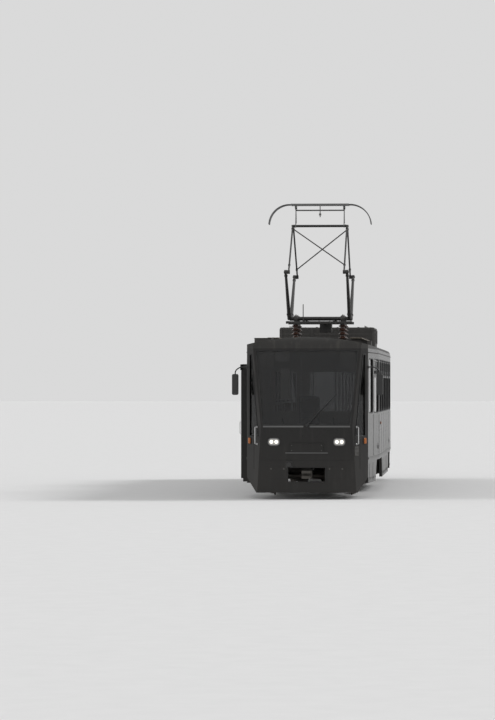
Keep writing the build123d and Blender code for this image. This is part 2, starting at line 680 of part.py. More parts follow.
def make_floor_and_frame():
    """The floor with its door wells cut, the step wells in them, and the underframe that carries all."""
    floor = inner & block(-FAR, FAR, -FAR, FAR, FLOOR_BOTTOM_Z, FLOOR_TOP_Z)
    steps = []
    for x0, x1 in DOORWAYS:
        floor = floor - block(x0, x1, -FAR, WELL_IN_Y, 0, FAR)
        tread = [(WELL_IN_Y, STEP_ONE_Z), (WELL_IN_Y - STEP_DEPTH, STEP_ONE_Z),
                 (WELL_IN_Y - STEP_DEPTH, STEP_TWO_Z), (-FAR, STEP_TWO_Z), (-FAR, STEP_TWO_Z - PLATE),
                 (WELL_IN_Y - STEP_DEPTH + PLATE, STEP_TWO_Z - PLATE),
                 (WELL_IN_Y - STEP_DEPTH + PLATE, STEP_ONE_Z - PLATE),
                 (WELL_IN_Y + PLATE, STEP_ONE_Z - PLATE), (WELL_IN_Y + PLATE, FLOOR_BOTTOM_Z),
                 (WELL_IN_Y, FLOOR_BOTTOM_Z)]
        well = prism_x(tread, x0, x1)
        for cheek_x0, cheek_x1 in ((x0 - PLATE, x0), (x1, x1 + PLATE)):
            well = well + block(cheek_x0, cheek_x1, -FAR, WELL_IN_Y + PLATE, STEP_TWO_Z - PLATE,
                                FLOOR_BOTTOM_Z)
        steps.append(well & inner)
    write(floor, "floor")
    write(Compound(children=[s for well in steps for s in well.solids()]), "step_wells")

    sills = []
    for side in (1, -1):
        y = side * SILL_Y
        sills.append(block(-SILL_END_X, SILL_END_X, y - SILL_WIDTH / 2, y + SILL_WIDTH / 2,
                           SILL_Z, FLOOR_BOTTOM_Z))
        sills.append(block(-SILL_DEEP_X, SILL_DEEP_X, y - SILL_WIDTH / 2, y + SILL_WIDTH / 2,
                           SILL_DEEP_Z, SILL_Z))
    for x in (-SILL_END_X, -SILL_DEEP_X, 0, SILL_DEEP_X, SILL_END_X):
        sills.append(block(x - CROSS_HALF, x + CROSS_HALF, -SILL_Y, SILL_Y, SILL_Z, FLOOR_BOTTOM_Z))
    for end in (1, -1):
        x = end * BOGIE_CENTRES / 2
        sills.append(block(x - BODY_BOLSTER_X, x + BODY_BOLSTER_X, -BOLSTER_HALF, BOLSTER_HALF, SILL_Z,
                           FLOOR_BOTTOM_Z))
        sills.append(rod((x, 0, BOWL_TOP_Z + RUNNING_GAP), (x, 0, SILL_Z), KING_PIN_RADIUS + 70))
        sills.append(rod((x, 0, BOWL_FLOOR_Z + RUNNING_GAP), (x, 0, SILL_Z), KING_PIN_RADIUS))
    write(fused(sills), "underframe")

    brackets = []
    for end in (1, -1):
        hook_x, pin_foot = end * COUPLER_PIVOT_X, COUPLER_Z - COUPLER_EYE_HALF
        beam = sorted((hook_x - end * HANGER_HALF, end * SILL_END_X))
        bracket = block(*beam, -HANGER_HALF, HANGER_HALF, COUPLER_Z + COUPLER_EYE_HALF + 10, SILL_Z)
        bracket = bracket + block(hook_x - HANGER_HALF, hook_x + HANGER_HALF, -HANGER_HALF, HANGER_HALF,
                                  COUPLER_Z + COUPLER_EYE_HALF, SILL_Z)
        bracket = bracket + rod((hook_x, 0, pin_foot - 10), (hook_x, 0, SILL_Z), COUPLER_PIN_RADIUS)
        washer = rod((hook_x, 0, pin_foot - 20), (hook_x, 0, pin_foot), COUPLER_PIN_RADIUS + 18)
        brackets.append(bracket + washer)
    write(Compound(children=[s for b in brackets for s in b.solids()]), "coupler_brackets")

    boxes = []
    for x0, x1, side, z0 in UNDERFLOOR_BOXES:
        y0, y1 = sorted((side * UNDER_IN_Y, side * UNDER_OUT_Y))
        box = block(x0, x1, y0, y1, z0, FLOOR_BOTTOM_Z)
        box = fillet(box.edges().filter_by(Axis.X), UNDER_RADIUS)
        lid_y = sorted((side * (UNDER_OUT_Y - UNDER_RADIUS), side * (UNDER_OUT_Y + UNDER_LID_OUT)))
        edge = UNDER_LID_EDGE
        boxes.append(box + block(x0 + edge, x1 - edge, *lid_y, z0 + edge, FLOOR_BOTTOM_Z - edge))
    write(Compound(children=[s for b in boxes for s in b.solids()]), "underfloor_boxes")


def make_coupler(end):
    """A drawbar coupler on its upright pin: an eye, a round bar, and a head with a pin hole."""
    x = COUPLER_PIVOT_X
    z = COUPLER_Z
    tall = COUPLER_EYE_HALF - RUNNING_GAP
    ring = rod((x, 0, z - tall), (x, 0, z + tall), COUPLER_PIN_RADIUS + 48)
    ring = ring - rod((x, 0, z - tall - 1), (x, 0, z + tall + 1), COUPLER_PIN_RADIUS + RUNNING_GAP)
    bar = rod((x + COUPLER_PIN_RADIUS + 38, 0, z), (COUPLER_HEAD_X + 20, 0, z), COUPLER_BAR_RADIUS)
    head = block(COUPLER_HEAD_X, COUPLER_FACE_X, -COUPLER_HEAD_HALF, COUPLER_HEAD_HALF,
                 z - COUPLER_HEAD_TALL, z + COUPLER_HEAD_TALL)
    head = chamfer(head.edges().filter_by(Axis.Z), 25)
    slot = block(COUPLER_SLOT_X, COUPLER_FACE_X + 1, -COUPLER_HEAD_HALF - 1, COUPLER_HEAD_HALF + 1,
                 z - COUPLER_SLOT_HALF, z + COUPLER_SLOT_HALF)
    hole = rod((COUPLER_EYE_X, 0, z - COUPLER_HEAD_TALL - 1), (COUPLER_EYE_X, 0, z + COUPLER_HEAD_TALL + 1),
               COUPLER_HOLE_RADIUS)
    whole = ring + bar + (head - slot - hole)
    write(whole if end > 0 else half_turned(whole), "coupler_front" if end > 0 else "coupler_rear")


def make_bogie(end, name):
    """One bogie: frame, sprung bolster, drives, rail brakes and two wheelsets."""
    at = Pos(end * BOGIE_CENTRES / 2, 0, 0)
    beam_top = [(-BEAM_END_X, BEAM_END_Z), (-BEAM_BEND_X, BEAM_END_Z), (-BEAM_LOW_X, BEAM_MID_Z),
                (BEAM_LOW_X, BEAM_MID_Z), (BEAM_BEND_X, BEAM_END_Z), (BEAM_END_X, BEAM_END_Z)]
    end_low, bend_low = BEAM_END_Z - BEAM_END_DEPTH, BEAM_END_Z - BEAM_END_DEPTH - 20
    beam_low = [(BEAM_END_X, end_low), (BEAM_BEND_X + 20, bend_low), (BEAM_LOW_X + 40, BEAM_FOOT_Z),
                (-BEAM_LOW_X - 40, BEAM_FOOT_Z), (-BEAM_BEND_X - 20, bend_low), (-BEAM_END_X, end_low)]
    frame = block(-TRANSOM_HALF, TRANSOM_HALF, -SIDE_BEAM_IN - 5, SIDE_BEAM_IN + 5, BEAM_FOOT_Z + 60,
                  BEAM_MID_Z)
    for side in (1, -1):
        y0 = min(side * SIDE_BEAM_IN, side * (SIDE_BEAM_IN + SIDE_BEAM_THICKNESS))
        frame = frame + prism_y(beam_top + beam_low, y0, y0 + SIDE_BEAM_THICKNESS)
        for axle in (1, -1):
            x = axle * WHEELBASE / 2
            near, far = side * (SIDE_BEAM_IN - 5), side * BOX_OUT_Y
            box = rod((x, near, AXLE_Z), (x, far, AXLE_Z), BOX_RADIUS)
            box = box + block(x - 80, x + 80, min(near, side * (BOX_OUT_Y - 40)),
                              max(near, side * (BOX_OUT_Y - 40)), AXLE_Z, BEAM_END_Z - 60)
            frame = frame + box
    for side in (1, -1):
        for axle in (1, -1):
            x = axle * WHEELBASE / 2
            frame = frame - rod((x, side * (SIDE_BEAM_IN - 30), AXLE_Z), (x, side * JOURNAL_END_Y, AXLE_Z),
                                JOURNAL_RADIUS + RUNNING_GAP)
    write(at * frame, "bogie_frame_" + name)

    bolster = block(-BOLSTER_X, BOLSTER_X, -BOLSTER_HALF + 60, BOLSTER_HALF - 60, BOLSTER_Z, BOWL_FLOOR_Z)
    bolster = chamfer(bolster.edges().filter_by(Axis.X), 20)
    bowl = rod((0, 0, BOLSTER_Z), (0, 0, BOWL_TOP_Z), KING_PIN_RADIUS + 60)
    bowl = bowl - rod((0, 0, BOWL_FLOOR_Z), (0, 0, BOWL_TOP_Z + 1), KING_PIN_RADIUS + RUNNING_GAP)
    write(at * (bolster + bowl), "bogie_bolster_" + name)

    springs = []
    for side in (1, -1):
        for x in (-SPRING_X, SPRING_X):
            y = side * (SIDE_BEAM_IN + SIDE_BEAM_THICKNESS / 2)
            outline = [(0, BEAM_MID_Z), (SPRING_RADIUS, BEAM_MID_Z)]
            pitch = (BOLSTER_Z - BEAM_MID_Z) / SPRING_TURNS
            for turn in range(SPRING_TURNS):
                z = BEAM_MID_Z + turn * pitch
                waist = SPRING_RADIUS - SPRING_WAIST
                outline += [(SPRING_RADIUS, z + pitch * 0.55), (waist, z + pitch * 0.7),
                            (waist, z + pitch * 0.85), (SPRING_RADIUS, z + pitch)]
            outline += [(0, BOLSTER_Z)]
            face = make_face(Polyline(*[(x + r, y, z) for r, z in outline], close=True))
            springs.append(revolve(face, axis=Axis((x, y, 0), (0, 0, 1)), revolution_arc=360))
    write(at * Compound(children=[s for p in springs for s in p.solids()]), "bogie_springs_" + name)

    drives = []
    for axle in (1, -1):
        y = axle * DRIVE_Y
        x = axle * WHEELBASE / 2
        motor_end = x - axle * GEAR_RADIUS * 0.85
        motor = rod((axle * (TRANSOM_HALF + 2), y, MOTOR_Z), (motor_end, y, MOTOR_Z), MOTOR_RADIUS)
        gear = rod((x, y - GEAR_HALF, AXLE_Z), (x, y + GEAR_HALF, AXLE_Z), GEAR_RADIUS)
        gear = gear - rod((x, y - GEAR_HALF - 5, AXLE_Z), (x, y + GEAR_HALF + 5, AXLE_Z),
                          AXLE_RADIUS + RUNNING_GAP)
        clear = rod((x, y - 2 * MOTOR_RADIUS, AXLE_Z), (x, y + 2 * MOTOR_RADIUS, AXLE_Z), GEAR_RADIUS - 10)
        drives.append(motor - clear + gear)
    write(at * Compound(children=[s for p in drives for s in p.solids()]), "traction_drives_" + name)

    brakes = []
    for side in (1, -1):
        y = side * RAIL_Y
        shoe = block(-SHOE_HALF, SHOE_HALF, y - 35, y + 35, SHOE_Z, SHOE_Z + SHOE_HEIGHT)
        shoe = chamfer(shoe.edges().filter_by(Axis.Y), 25)
        for x in (-SHOE_POST_X, SHOE_POST_X):
            shoe = shoe + block(x - 25, x + 25, y - 20, y + 20, SHOE_Z + SHOE_HEIGHT - 10, BEAM_FOOT_Z + 60)
            arm = sorted((y, side * SIDE_BEAM_IN))
            shoe = shoe + block(x - 25, x + 25, arm[0], arm[1], BEAM_FOOT_Z + 20, BEAM_FOOT_Z + 60)
        brakes.append(shoe)
    write(at * Compound(children=[s for p in brakes for s in p.solids()]), "rail_brakes_" + name)

    half_track = BACK_TO_BACK / 2
    tread_in = half_track + 32
    hub, bore, rim = HUB_RADIUS, AXLE_RADIUS - 5, WHEEL_RADIUS - TYRE_DEPTH
    flange = WHEEL_RADIUS + FLANGE_HEIGHT
    wheel = [(bore, half_track - 25), (hub, half_track - 25), (hub + 15, half_track + 10),
             (rim - 10, half_track + 22), (rim, half_track), (flange - 8, half_track),
             (flange, half_track + 10), (flange - 4, half_track + 20),
             (WHEEL_RADIUS, tread_in), (WHEEL_RADIUS - 5, half_track + WHEEL_WIDTH),
             (rim, half_track + WHEEL_WIDTH), (rim - 15, half_track + 58), (hub + 10, half_track + 48),
             (hub, half_track + 95), (bore, half_track + 95)]
    for number, axle in enumerate((1, -1), start=1 if end > 0 else 3):
        x = axle * WHEELBASE / 2
        pieces = [rod((x, -half_track, AXLE_Z), (x, half_track, AXLE_Z), AXLE_RADIUS),
                  rod((x, -JOURNAL_END_Y + 3, AXLE_Z), (x, JOURNAL_END_Y - 3, AXLE_Z), JOURNAL_RADIUS)]
        pieces += [turned([(r, side * y) for r, y in wheel], x, AXLE_Z) for side in (1, -1)]
        write(at * fused(pieces), f"wheelset_{number}")


def make_doors():
    """Outside-hung sliding leaves with their windows, the covers that hide their rails, and the portals."""
    for name, x0, x1 in LEAVES:
        leaf = block(x0, x1, LEAF_OUT_Y, LEAF_IN_Y, LEAF_BOTTOM_Z, LEAF_TOP_Z)
        width = x1 - x0 - 2 * LEAF_STILE
        mid = (x0 + x1) / 2
        for z0, z1 in LEAF_LIGHTS:
            plane = Plane(origin=(mid, LEAF_OUT_Y - 1, (z0 + z1) / 2), x_dir=(1, 0, 0), z_dir=(0, 1, 0))
            light = RectangleRounded(width, z1 - z0, LEAF_RADIUS)
            leaf = leaf - extrude(plane * light, amount=LEAF_THICKNESS + 2)
        groove_y = RAIL_HALF + RUNNING_GAP
        for x in (x0 + LEAF_HANGER_IN, x1 - LEAF_HANGER_IN):
            low, high = x - LEAF_HANGER_HALF, x + LEAF_HANGER_HALF
            hanger = block(low, high, LEAF_MID_Y - 14, LEAF_MID_Y + 14, LEAF_TOP_Z - 1, RAIL_TOP_Z - 25)
            leaf = leaf + hanger - block(low - 1, high + 1, LEAF_MID_Y - groove_y, LEAF_MID_Y + groove_y,
                                         LEAF_TOP_Z + 15, RAIL_TOP_Z)
        write(leaf, "door_" + name)
        glass = []
        for z0, z1 in LEAF_LIGHTS:
            plane = Plane(origin=(mid, LEAF_MID_Y - GLASS_THICKNESS / 2, (z0 + z1) / 2), x_dir=(1, 0, 0),
                          z_dir=(0, 1, 0))
            light = RectangleRounded(width, z1 - z0, LEAF_RADIUS)
            glass.append(extrude(plane * light, amount=GLASS_THICKNESS))
        write(Compound(children=[s for g in glass for s in g.solids()]), "door_glass_" + name)

    rails = []
    for x0, x1 in RAIL_SPANS:
        lip_y, under_z, rail_foot_z = LEAF_OUT_Y - COVER_OUT, RAIL_TOP_Z - 10, LEAF_TOP_Z + 18
        cover = [(-HALF_WIDTH, RAIL_TOP_Z), (lip_y, RAIL_TOP_Z - 6), (lip_y, LEAF_TOP_Z - 20),
                 (lip_y + COVER_THICKNESS, LEAF_TOP_Z - 20), (lip_y + COVER_THICKNESS, under_z),
                 (LEAF_MID_Y - RAIL_HALF, under_z), (LEAF_MID_Y - RAIL_HALF, rail_foot_z),
                 (LEAF_MID_Y + RAIL_HALF, rail_foot_z), (LEAF_MID_Y + RAIL_HALF, under_z),
                 (-HALF_WIDTH, under_z)]
        rails.append(prism_x(cover, x0, x1))
    for sign in (1, -1):
        x0, x1 = sorted((sign * (DOOR_END_X0 - PORTAL_JAMB), sign * (DOOR_END_X1 + PORTAL_JAMB)))
        portal = block(x0, x1, PORTAL_Y, -CORNER_HALF, SKIRT_Z, RAIL_TOP_Z)
        portal = portal - doorway_cutter(*sorted((sign * DOOR_END_X0, sign * DOOR_END_X1))) - outer
        rails.append(portal - block(-FAR, FAR, -FAR, -HALF_WIDTH, LEAF_TOP_Z - 20, FAR))
    write(Compound(children=[s for p in rails for s in p.solids()]), "door_rails")


def make_cab():
    """The cab wall with its door, the driver's desk and seat."""
    wall = inner & block(CAB_WALL_X, CAB_WALL_X + CAB_WALL, -FAR, FAR, FLOOR_TOP_Z, FAR)
    door_hole = block(CAB_WALL_X - 5, CAB_WALL_X + CAB_WALL + 5, CAB_DOOR_Y0, CAB_DOOR_Y1,
                      FLOOR_TOP_Z, CAB_DOOR_TOP_Z)
    light = block(CAB_WALL_X - 5, CAB_WALL_X + CAB_WALL + 5, CAB_DOOR_Y1 + 150, CAB_LIGHT_END_Y,
                  CAB_LIGHT_Z0, CAB_LIGHT_Z1)
    wall = wall - door_hole - light
    hinge_x, hinge_y = CAB_WALL_X - HINGE_OUT, CAB_DOOR_Y1
    knuckles, sockets = [], []
    for z in HINGE_HEIGHTS:
        foot = z - RUNNING_GAP
        wall = wall + rod((hinge_x, hinge_y, z - HINGE_LENGTH), (hinge_x, hinge_y, foot), HINGE_RADIUS)
        wall = wall + block(hinge_x - 3, CAB_WALL_X, hinge_y, hinge_y + HINGE_LEAF, z - HINGE_LENGTH, foot)
        wall = wall + rod((hinge_x, hinge_y, foot), (hinge_x, hinge_y, z + HINGE_LENGTH), HINGE_PIN_RADIUS)
        knuckles.append(rod((hinge_x, hinge_y, z), (hinge_x, hinge_y, z + HINGE_LENGTH), HINGE_RADIUS))
        knuckles.append(block(hinge_x - 3, CAB_WALL_X, hinge_y - HINGE_LEAF, hinge_y, z, z + HINGE_LENGTH))
        sockets.append(rod((hinge_x, hinge_y, z - 1), (hinge_x, hinge_y, z + HINGE_LENGTH + 1),
                           HINGE_PIN_RADIUS + RUNNING_GAP))
    write(wall, "cab_wall")
    door = block(CAB_WALL_X, CAB_WALL_X + CAB_WALL, CAB_DOOR_Y0 + CAB_DOOR_GAP, CAB_DOOR_Y1 - CAB_DOOR_GAP,
                 FLOOR_TOP_Z + 8, CAB_DOOR_TOP_Z - CAB_DOOR_GAP)
    door = door - block(CAB_WALL_X - 5, CAB_WALL_X + CAB_WALL + 5, CAB_DOOR_Y0 + CAB_DOOR_FRAME,
                        CAB_DOOR_Y1 - CAB_DOOR_FRAME, CAB_LIGHT_Z0, CAB_LIGHT_Z1)
    door = fused([door] + knuckles)
    for socket in sockets:
        door = door - socket
    write(door, "cab_door")
    outline = [(DESK_X, FLOOR_TOP_Z), (DESK_X, FLOOR_TOP_Z + 190), (DESK_X - 80, DESK_TOP_Z - 25),
               (DESK_X - 80, DESK_TOP_Z), (FAR / 2, DESK_TOP_Z), (FAR / 2, FLOOR_TOP_Z)]
    desk = prism_y(outline, -DESK_HALF, DESK_HALF) & body_volume(WALL + RUNNING_GAP)
    write(desk, "driver_desk")
    seat = rod((CAB_SEAT_X, 0, FLOOR_TOP_Z), (CAB_SEAT_X, 0, CAB_SEAT_Z), 55)
    seat = seat + rod((CAB_SEAT_X, 0, FLOOR_TOP_Z), (CAB_SEAT_X, 0, FLOOR_TOP_Z + 25), 190)
    cushion_z = CAB_SEAT_Z + 90
    cushion = block(CAB_SEAT_X - 220, CAB_SEAT_X + 220, -230, 230, CAB_SEAT_Z, cushion_z)
    back = prism_y([(CAB_SEAT_X - 220, cushion_z), (CAB_SEAT_X - 130, cushion_z),
                    (CAB_SEAT_X - 210, cushion_z + 600), (CAB_SEAT_X - 280, cushion_z + 600)], -220, 220)
    write(seat + fillet(cushion.edges().filter_by(Axis.Z), 40) + back, "driver_seat")


def make_saloon():
    """Passenger seats in two rows, and the handrail posts with the ceiling rails."""
    for node, side, places in SEAT_ROWS:
        seats = []
        for x in places:
            wall_y = side_wall_y(abs(x) + 300) - WALL - SEAT_WALL_GAP
            y0, y1 = sorted((side * wall_y, side * (wall_y - SEAT_WIDTH)))
            shell_line = [(x - 200, SEAT_Z - 30), (x + 215, SEAT_Z), (x + 235, SEAT_Z + 25),
                          (x + 220, SEAT_Z + 40), (x - 165, SEAT_Z + 12), (x - 250, SEAT_Z + 430),
                          (x - 290, SEAT_Z + 425)]
            seat = prism_y(shell_line, y0, y1)
            mid = (y0 + y1) / 2
            seat = seat + block(x - 60, x + 120, mid - 40, mid + 40, FLOOR_TOP_Z, SEAT_Z - 5)
            seats.append(seat)
        write(Compound(children=[s for p in seats for s in p.solids()]), node)
    rails = []
    for side in (1, -1):
        y = side * POST_Y
        rail_y = side * (POST_Y + 2 * TUBE_RADIUS + RUNNING_GAP)
        rails.append(rod((-CEILING_RAIL_X, rail_y, CEILING_RAIL_Z), (CEILING_RAIL_X, rail_y, CEILING_RAIL_Z),
                         TUBE_RADIUS))
        rails += [rod((x, y, FLOOR_TOP_Z), (x, y, ROOF_CREST_Z), TUBE_RADIUS) & inner for x in POST_PLACES]
    write(Compound(children=[s for p in rails for s in p.solids()]), "handrails")


def make_trim():
    """Lamps, mouldings, blank plates, wiper and mirrors."""
    lamp_skin = body_volume(-LAMP_OUT)
    lamp_front = body_volume(-LAMP_OUT - 1) - body_volume(LENS_DROP - LAMP_OUT)
    for node, sign, wide, tall, corner in (("headlamps", 1, LAMP_WIDTH, LAMP_HEIGHT, 0.45),
                                           ("tail_lamps", -1, LAMP_HEIGHT, LAMP_WIDTH, 0.3)):
        lamps = []
        for y in (-LAMP_Y, LAMP_Y):
            plane = Plane(origin=(sign * (HALF_LENGTH - LAMP_BACK), y, LAMP_Z), x_dir=(0, 1, 0),
                          z_dir=(sign, 0, 0))
            rim = extrude(plane * RectangleRounded(wide, tall, LAMP_HEIGHT * corner), amount=2 * LAMP_BACK)
            lens = extrude(plane * RectangleRounded(wide - 2 * LAMP_RIM, tall - 2 * LAMP_RIM,
                                                    LAMP_HEIGHT * corner - LAMP_RIM), amount=2 * LAMP_BACK)
            lamps.append((rim & lamp_skin) - outer - (lens & lamp_front))
        write(Compound(children=[s for p in lamps for s in p.solids()]), node)

    skin = body_volume(-TRIM_OUT) - outer
    trim = []
    for sign in (1, -1):
        ahead = sorted((sign * MASK_X, sign * FAR))
        bar_half, bar_z = SCREEN_FOOT_HALF - 40, SCREEN_SILL_Z - SCREEN_BAR_DROP
        bar = block(*ahead, -bar_half, bar_half, bar_z, bar_z + SCREEN_BAR_HEIGHT)
        if sign > 0:
            bar = bar - block(-FAR, FAR, -SCREEN_BAR_GAP, SCREEN_BAR_GAP, 0, FAR)
        lip_z = PLATE_Z0 - LIP_DROP
        lip = block(*ahead, -LIP_HALF, LIP_HALF, lip_z, lip_z + LIP_HEIGHT)
        plate = block(*ahead, -PLATE_HALF, PLATE_HALF, PLATE_Z0, PLATE_Z1)
        trim += [skin & bar, skin & lip, skin & plate]
    belt = skin & block(-MASK_X, MASK_X, -FAR, FAR, RUB_RAIL_Z, RUB_RAIL_Z + RUB_RAIL_HEIGHT)
    for x0, x1 in DOORWAYS:
        belt = belt - doorway_cutter(x0, x1)
    for sign in (1, -1):
        span = sorted((sign * (DOOR_END_X0 - PORTAL_JAMB), sign * (DOOR_END_X1 + PORTAL_JAMB)))
        belt = belt - block(span[0], span[1], -FAR, 0, 0, FAR)
    trim.append(belt)
    write(Compound(children=[s for p in trim for s in p.solids()]), "body_trim")

    blade_out = BLADE_RADIUS + RUNNING_GAP - GLASS_IN
    wiper = rod(on_screen(0, WIPER_Z, RUNNING_GAP), on_screen(0, WIPER_Z, WIPER_OUT + 10), 13)
    wiper = wiper + rod(on_screen(0, WIPER_Z, WIPER_OUT), on_screen(WIPER_TIP_Y, WIPER_TIP_Z, WIPER_OUT),
                        WIPER_RADIUS)
    foot = (WIPER_TIP_Y * BLADE_FOOT_SHARE, WIPER_Z + (WIPER_TIP_Z - WIPER_Z) * BLADE_FOOT_SHARE)
    blade_top = on_screen(WIPER_TIP_Y * 1.06, WIPER_TIP_Z + 35, blade_out)
    wiper = wiper + rod(on_screen(*foot, blade_out), blade_top,
                         BLADE_RADIUS)
    for at in (0.5, 0.98):
        y, z = WIPER_TIP_Y * at, WIPER_Z + (WIPER_TIP_Z - WIPER_Z) * at
        wiper = wiper + rod(on_screen(y, z, blade_out), on_screen(y, z, WIPER_OUT), 5)
    write(wiper, "wiper")

    mirrors = []
    for side in (1, -1):
        y_wall = side * (CORNER_HALF - 10)
        head_y = side * MIRROR_Y
        head = block(MIRROR_X - 40, MIRROR_X + 30, head_y - MIRROR_HALF_WIDTH, head_y + MIRROR_HALF_WIDTH,
                     MIRROR_Z - MIRROR_HALF_HEIGHT, MIRROR_Z + MIRROR_HALF_HEIGHT)
        head = chamfer(head.edges(), MIRROR_EDGE)
        arm_z = MIRROR_Z + MIRROR_ARM_RISE
        path = [(MIRROR_X - 30, y_wall, arm_z), (MIRROR_X - 10, side * (MIRROR_Y - 91), arm_z),
                (MIRROR_X - 5, head_y, arm_z - 70),
                (MIRROR_X - 5, head_y, MIRROR_Z + MIRROR_HALF_HEIGHT - 50)]
        line = FilletPolyline(*path, radius=[60, 40])
        start = Plane(origin=path[0], z_dir=Vector(*path[1]) - Vector(*path[0]))
        arm = sweep(start * RegularPolygon(MIRROR_ARM_RADIUS, TUBE_SIDES), path=line)
        mirrors.append((head + arm) - outer)
    write(Compound(children=[s for p in mirrors for s in p.solids()]), "mirrors")


def end_louvres(k):
    """The slots in the free end of the first or the last resistor box, and nothing for those between."""
    if k not in (0, RESISTOR_COUNT - 1):
        return []
    face_x = RESISTOR_X if k == 0 else RESISTOR_X + k * RESISTOR_PITCH + RESISTOR_LENGTH
    span = 2 * RESISTOR_HALF / END_LOUVRE_FIELDS
    slots = []
    for field in range(END_LOUVRE_FIELDS):
        y0 = field * span - RESISTOR_HALF + LOUVRE_EDGE / 2
        for number in range(END_LOUVRES):
            z = RESISTOR_TOP_Z - LOUVRE_DROP - number * LOUVRE_PITCH
            slots.append(block(face_x - LOUVRE_DEPTH, face_x + LOUVRE_DEPTH, y0, y0 + span - LOUVRE_EDGE,
                               z - LOUVRE_HEIGHT, z))
    return slots


def make_roof_gear():
    """Resistor boxes, walking boards and the small boxes on the roof."""
    boxes = []
    louvre_floor = RESISTOR_HALF - LOUVRE_DEPTH
    for k in range(RESISTOR_COUNT):
        x0 = RESISTOR_X + k * RESISTOR_PITCH
        x1 = x0 + RESISTOR_LENGTH
        box = block(x0, x1, -RESISTOR_HALF, RESISTOR_HALF, ROOF_EDGE_Z - 20, RESISTOR_TOP_Z)
        for number in range(SIDE_LOUVRES):
            z = RESISTOR_TOP_Z - LOUVRE_DROP - number * LOUVRE_PITCH
            slot = block(x0 + LOUVRE_EDGE, x1 - LOUVRE_EDGE, -FAR, FAR, z - LOUVRE_HEIGHT, z)
            box = box - (slot - block(-FAR, FAR, -louvre_floor, louvre_floor, 0, FAR))
        boxes.append(box - end_louvres(k) - outer)
    write(Compound(children=[s for p in boxes for s in p.solids()]), "resistor_boxes")
    boards = []
    for side in (1, -1):
        y0, y1 = sorted((side * BOARD_IN_Y, side * (BOARD_IN_Y + BOARD_WIDTH)))
        pitch = (BOARD_WIDTH + PLANK_GAP) / PLANK_COUNT
        planks = [block(BOARD_X0, BOARD_X1, y, y + pitch - PLANK_GAP, BOARD_Z, BOARD_Z + BOARD_THICKNESS)
                  for y in (y0 + number * pitch for number in range(PLANK_COUNT))]
        feet = [block(x - 25, x + 25, y0 + 20, y1 - 20, ROOF_EDGE_Z, BOARD_Z + 5) - outer
                for x in in_row(BOARD_X0 + 100, BOARD_X1 - 100, BOARD_FOOT_PITCH)]
        boards.append(fused(planks + feet))
    write(Compound(children=[s for p in boards for s in p.solids()]), "walking_boards")
    small = [block(x0, x1, y0, y1, ROOF_EDGE_Z - 120, z1) - outer for x0, x1, y0, y1, z1 in ROOF_ITEMS]
    write(Compound(children=[s for p in small for s in p.solids()]), "roof_fittings")


def eye(x, y, z, radius, half, hole):
    """A knuckle with its hole along Y."""
    ring = rod((x, y - half, z), (x, y + half, z), radius)
    return ring, rod((x, y - half - 5, z), (x, y + half + 5, z), hole)


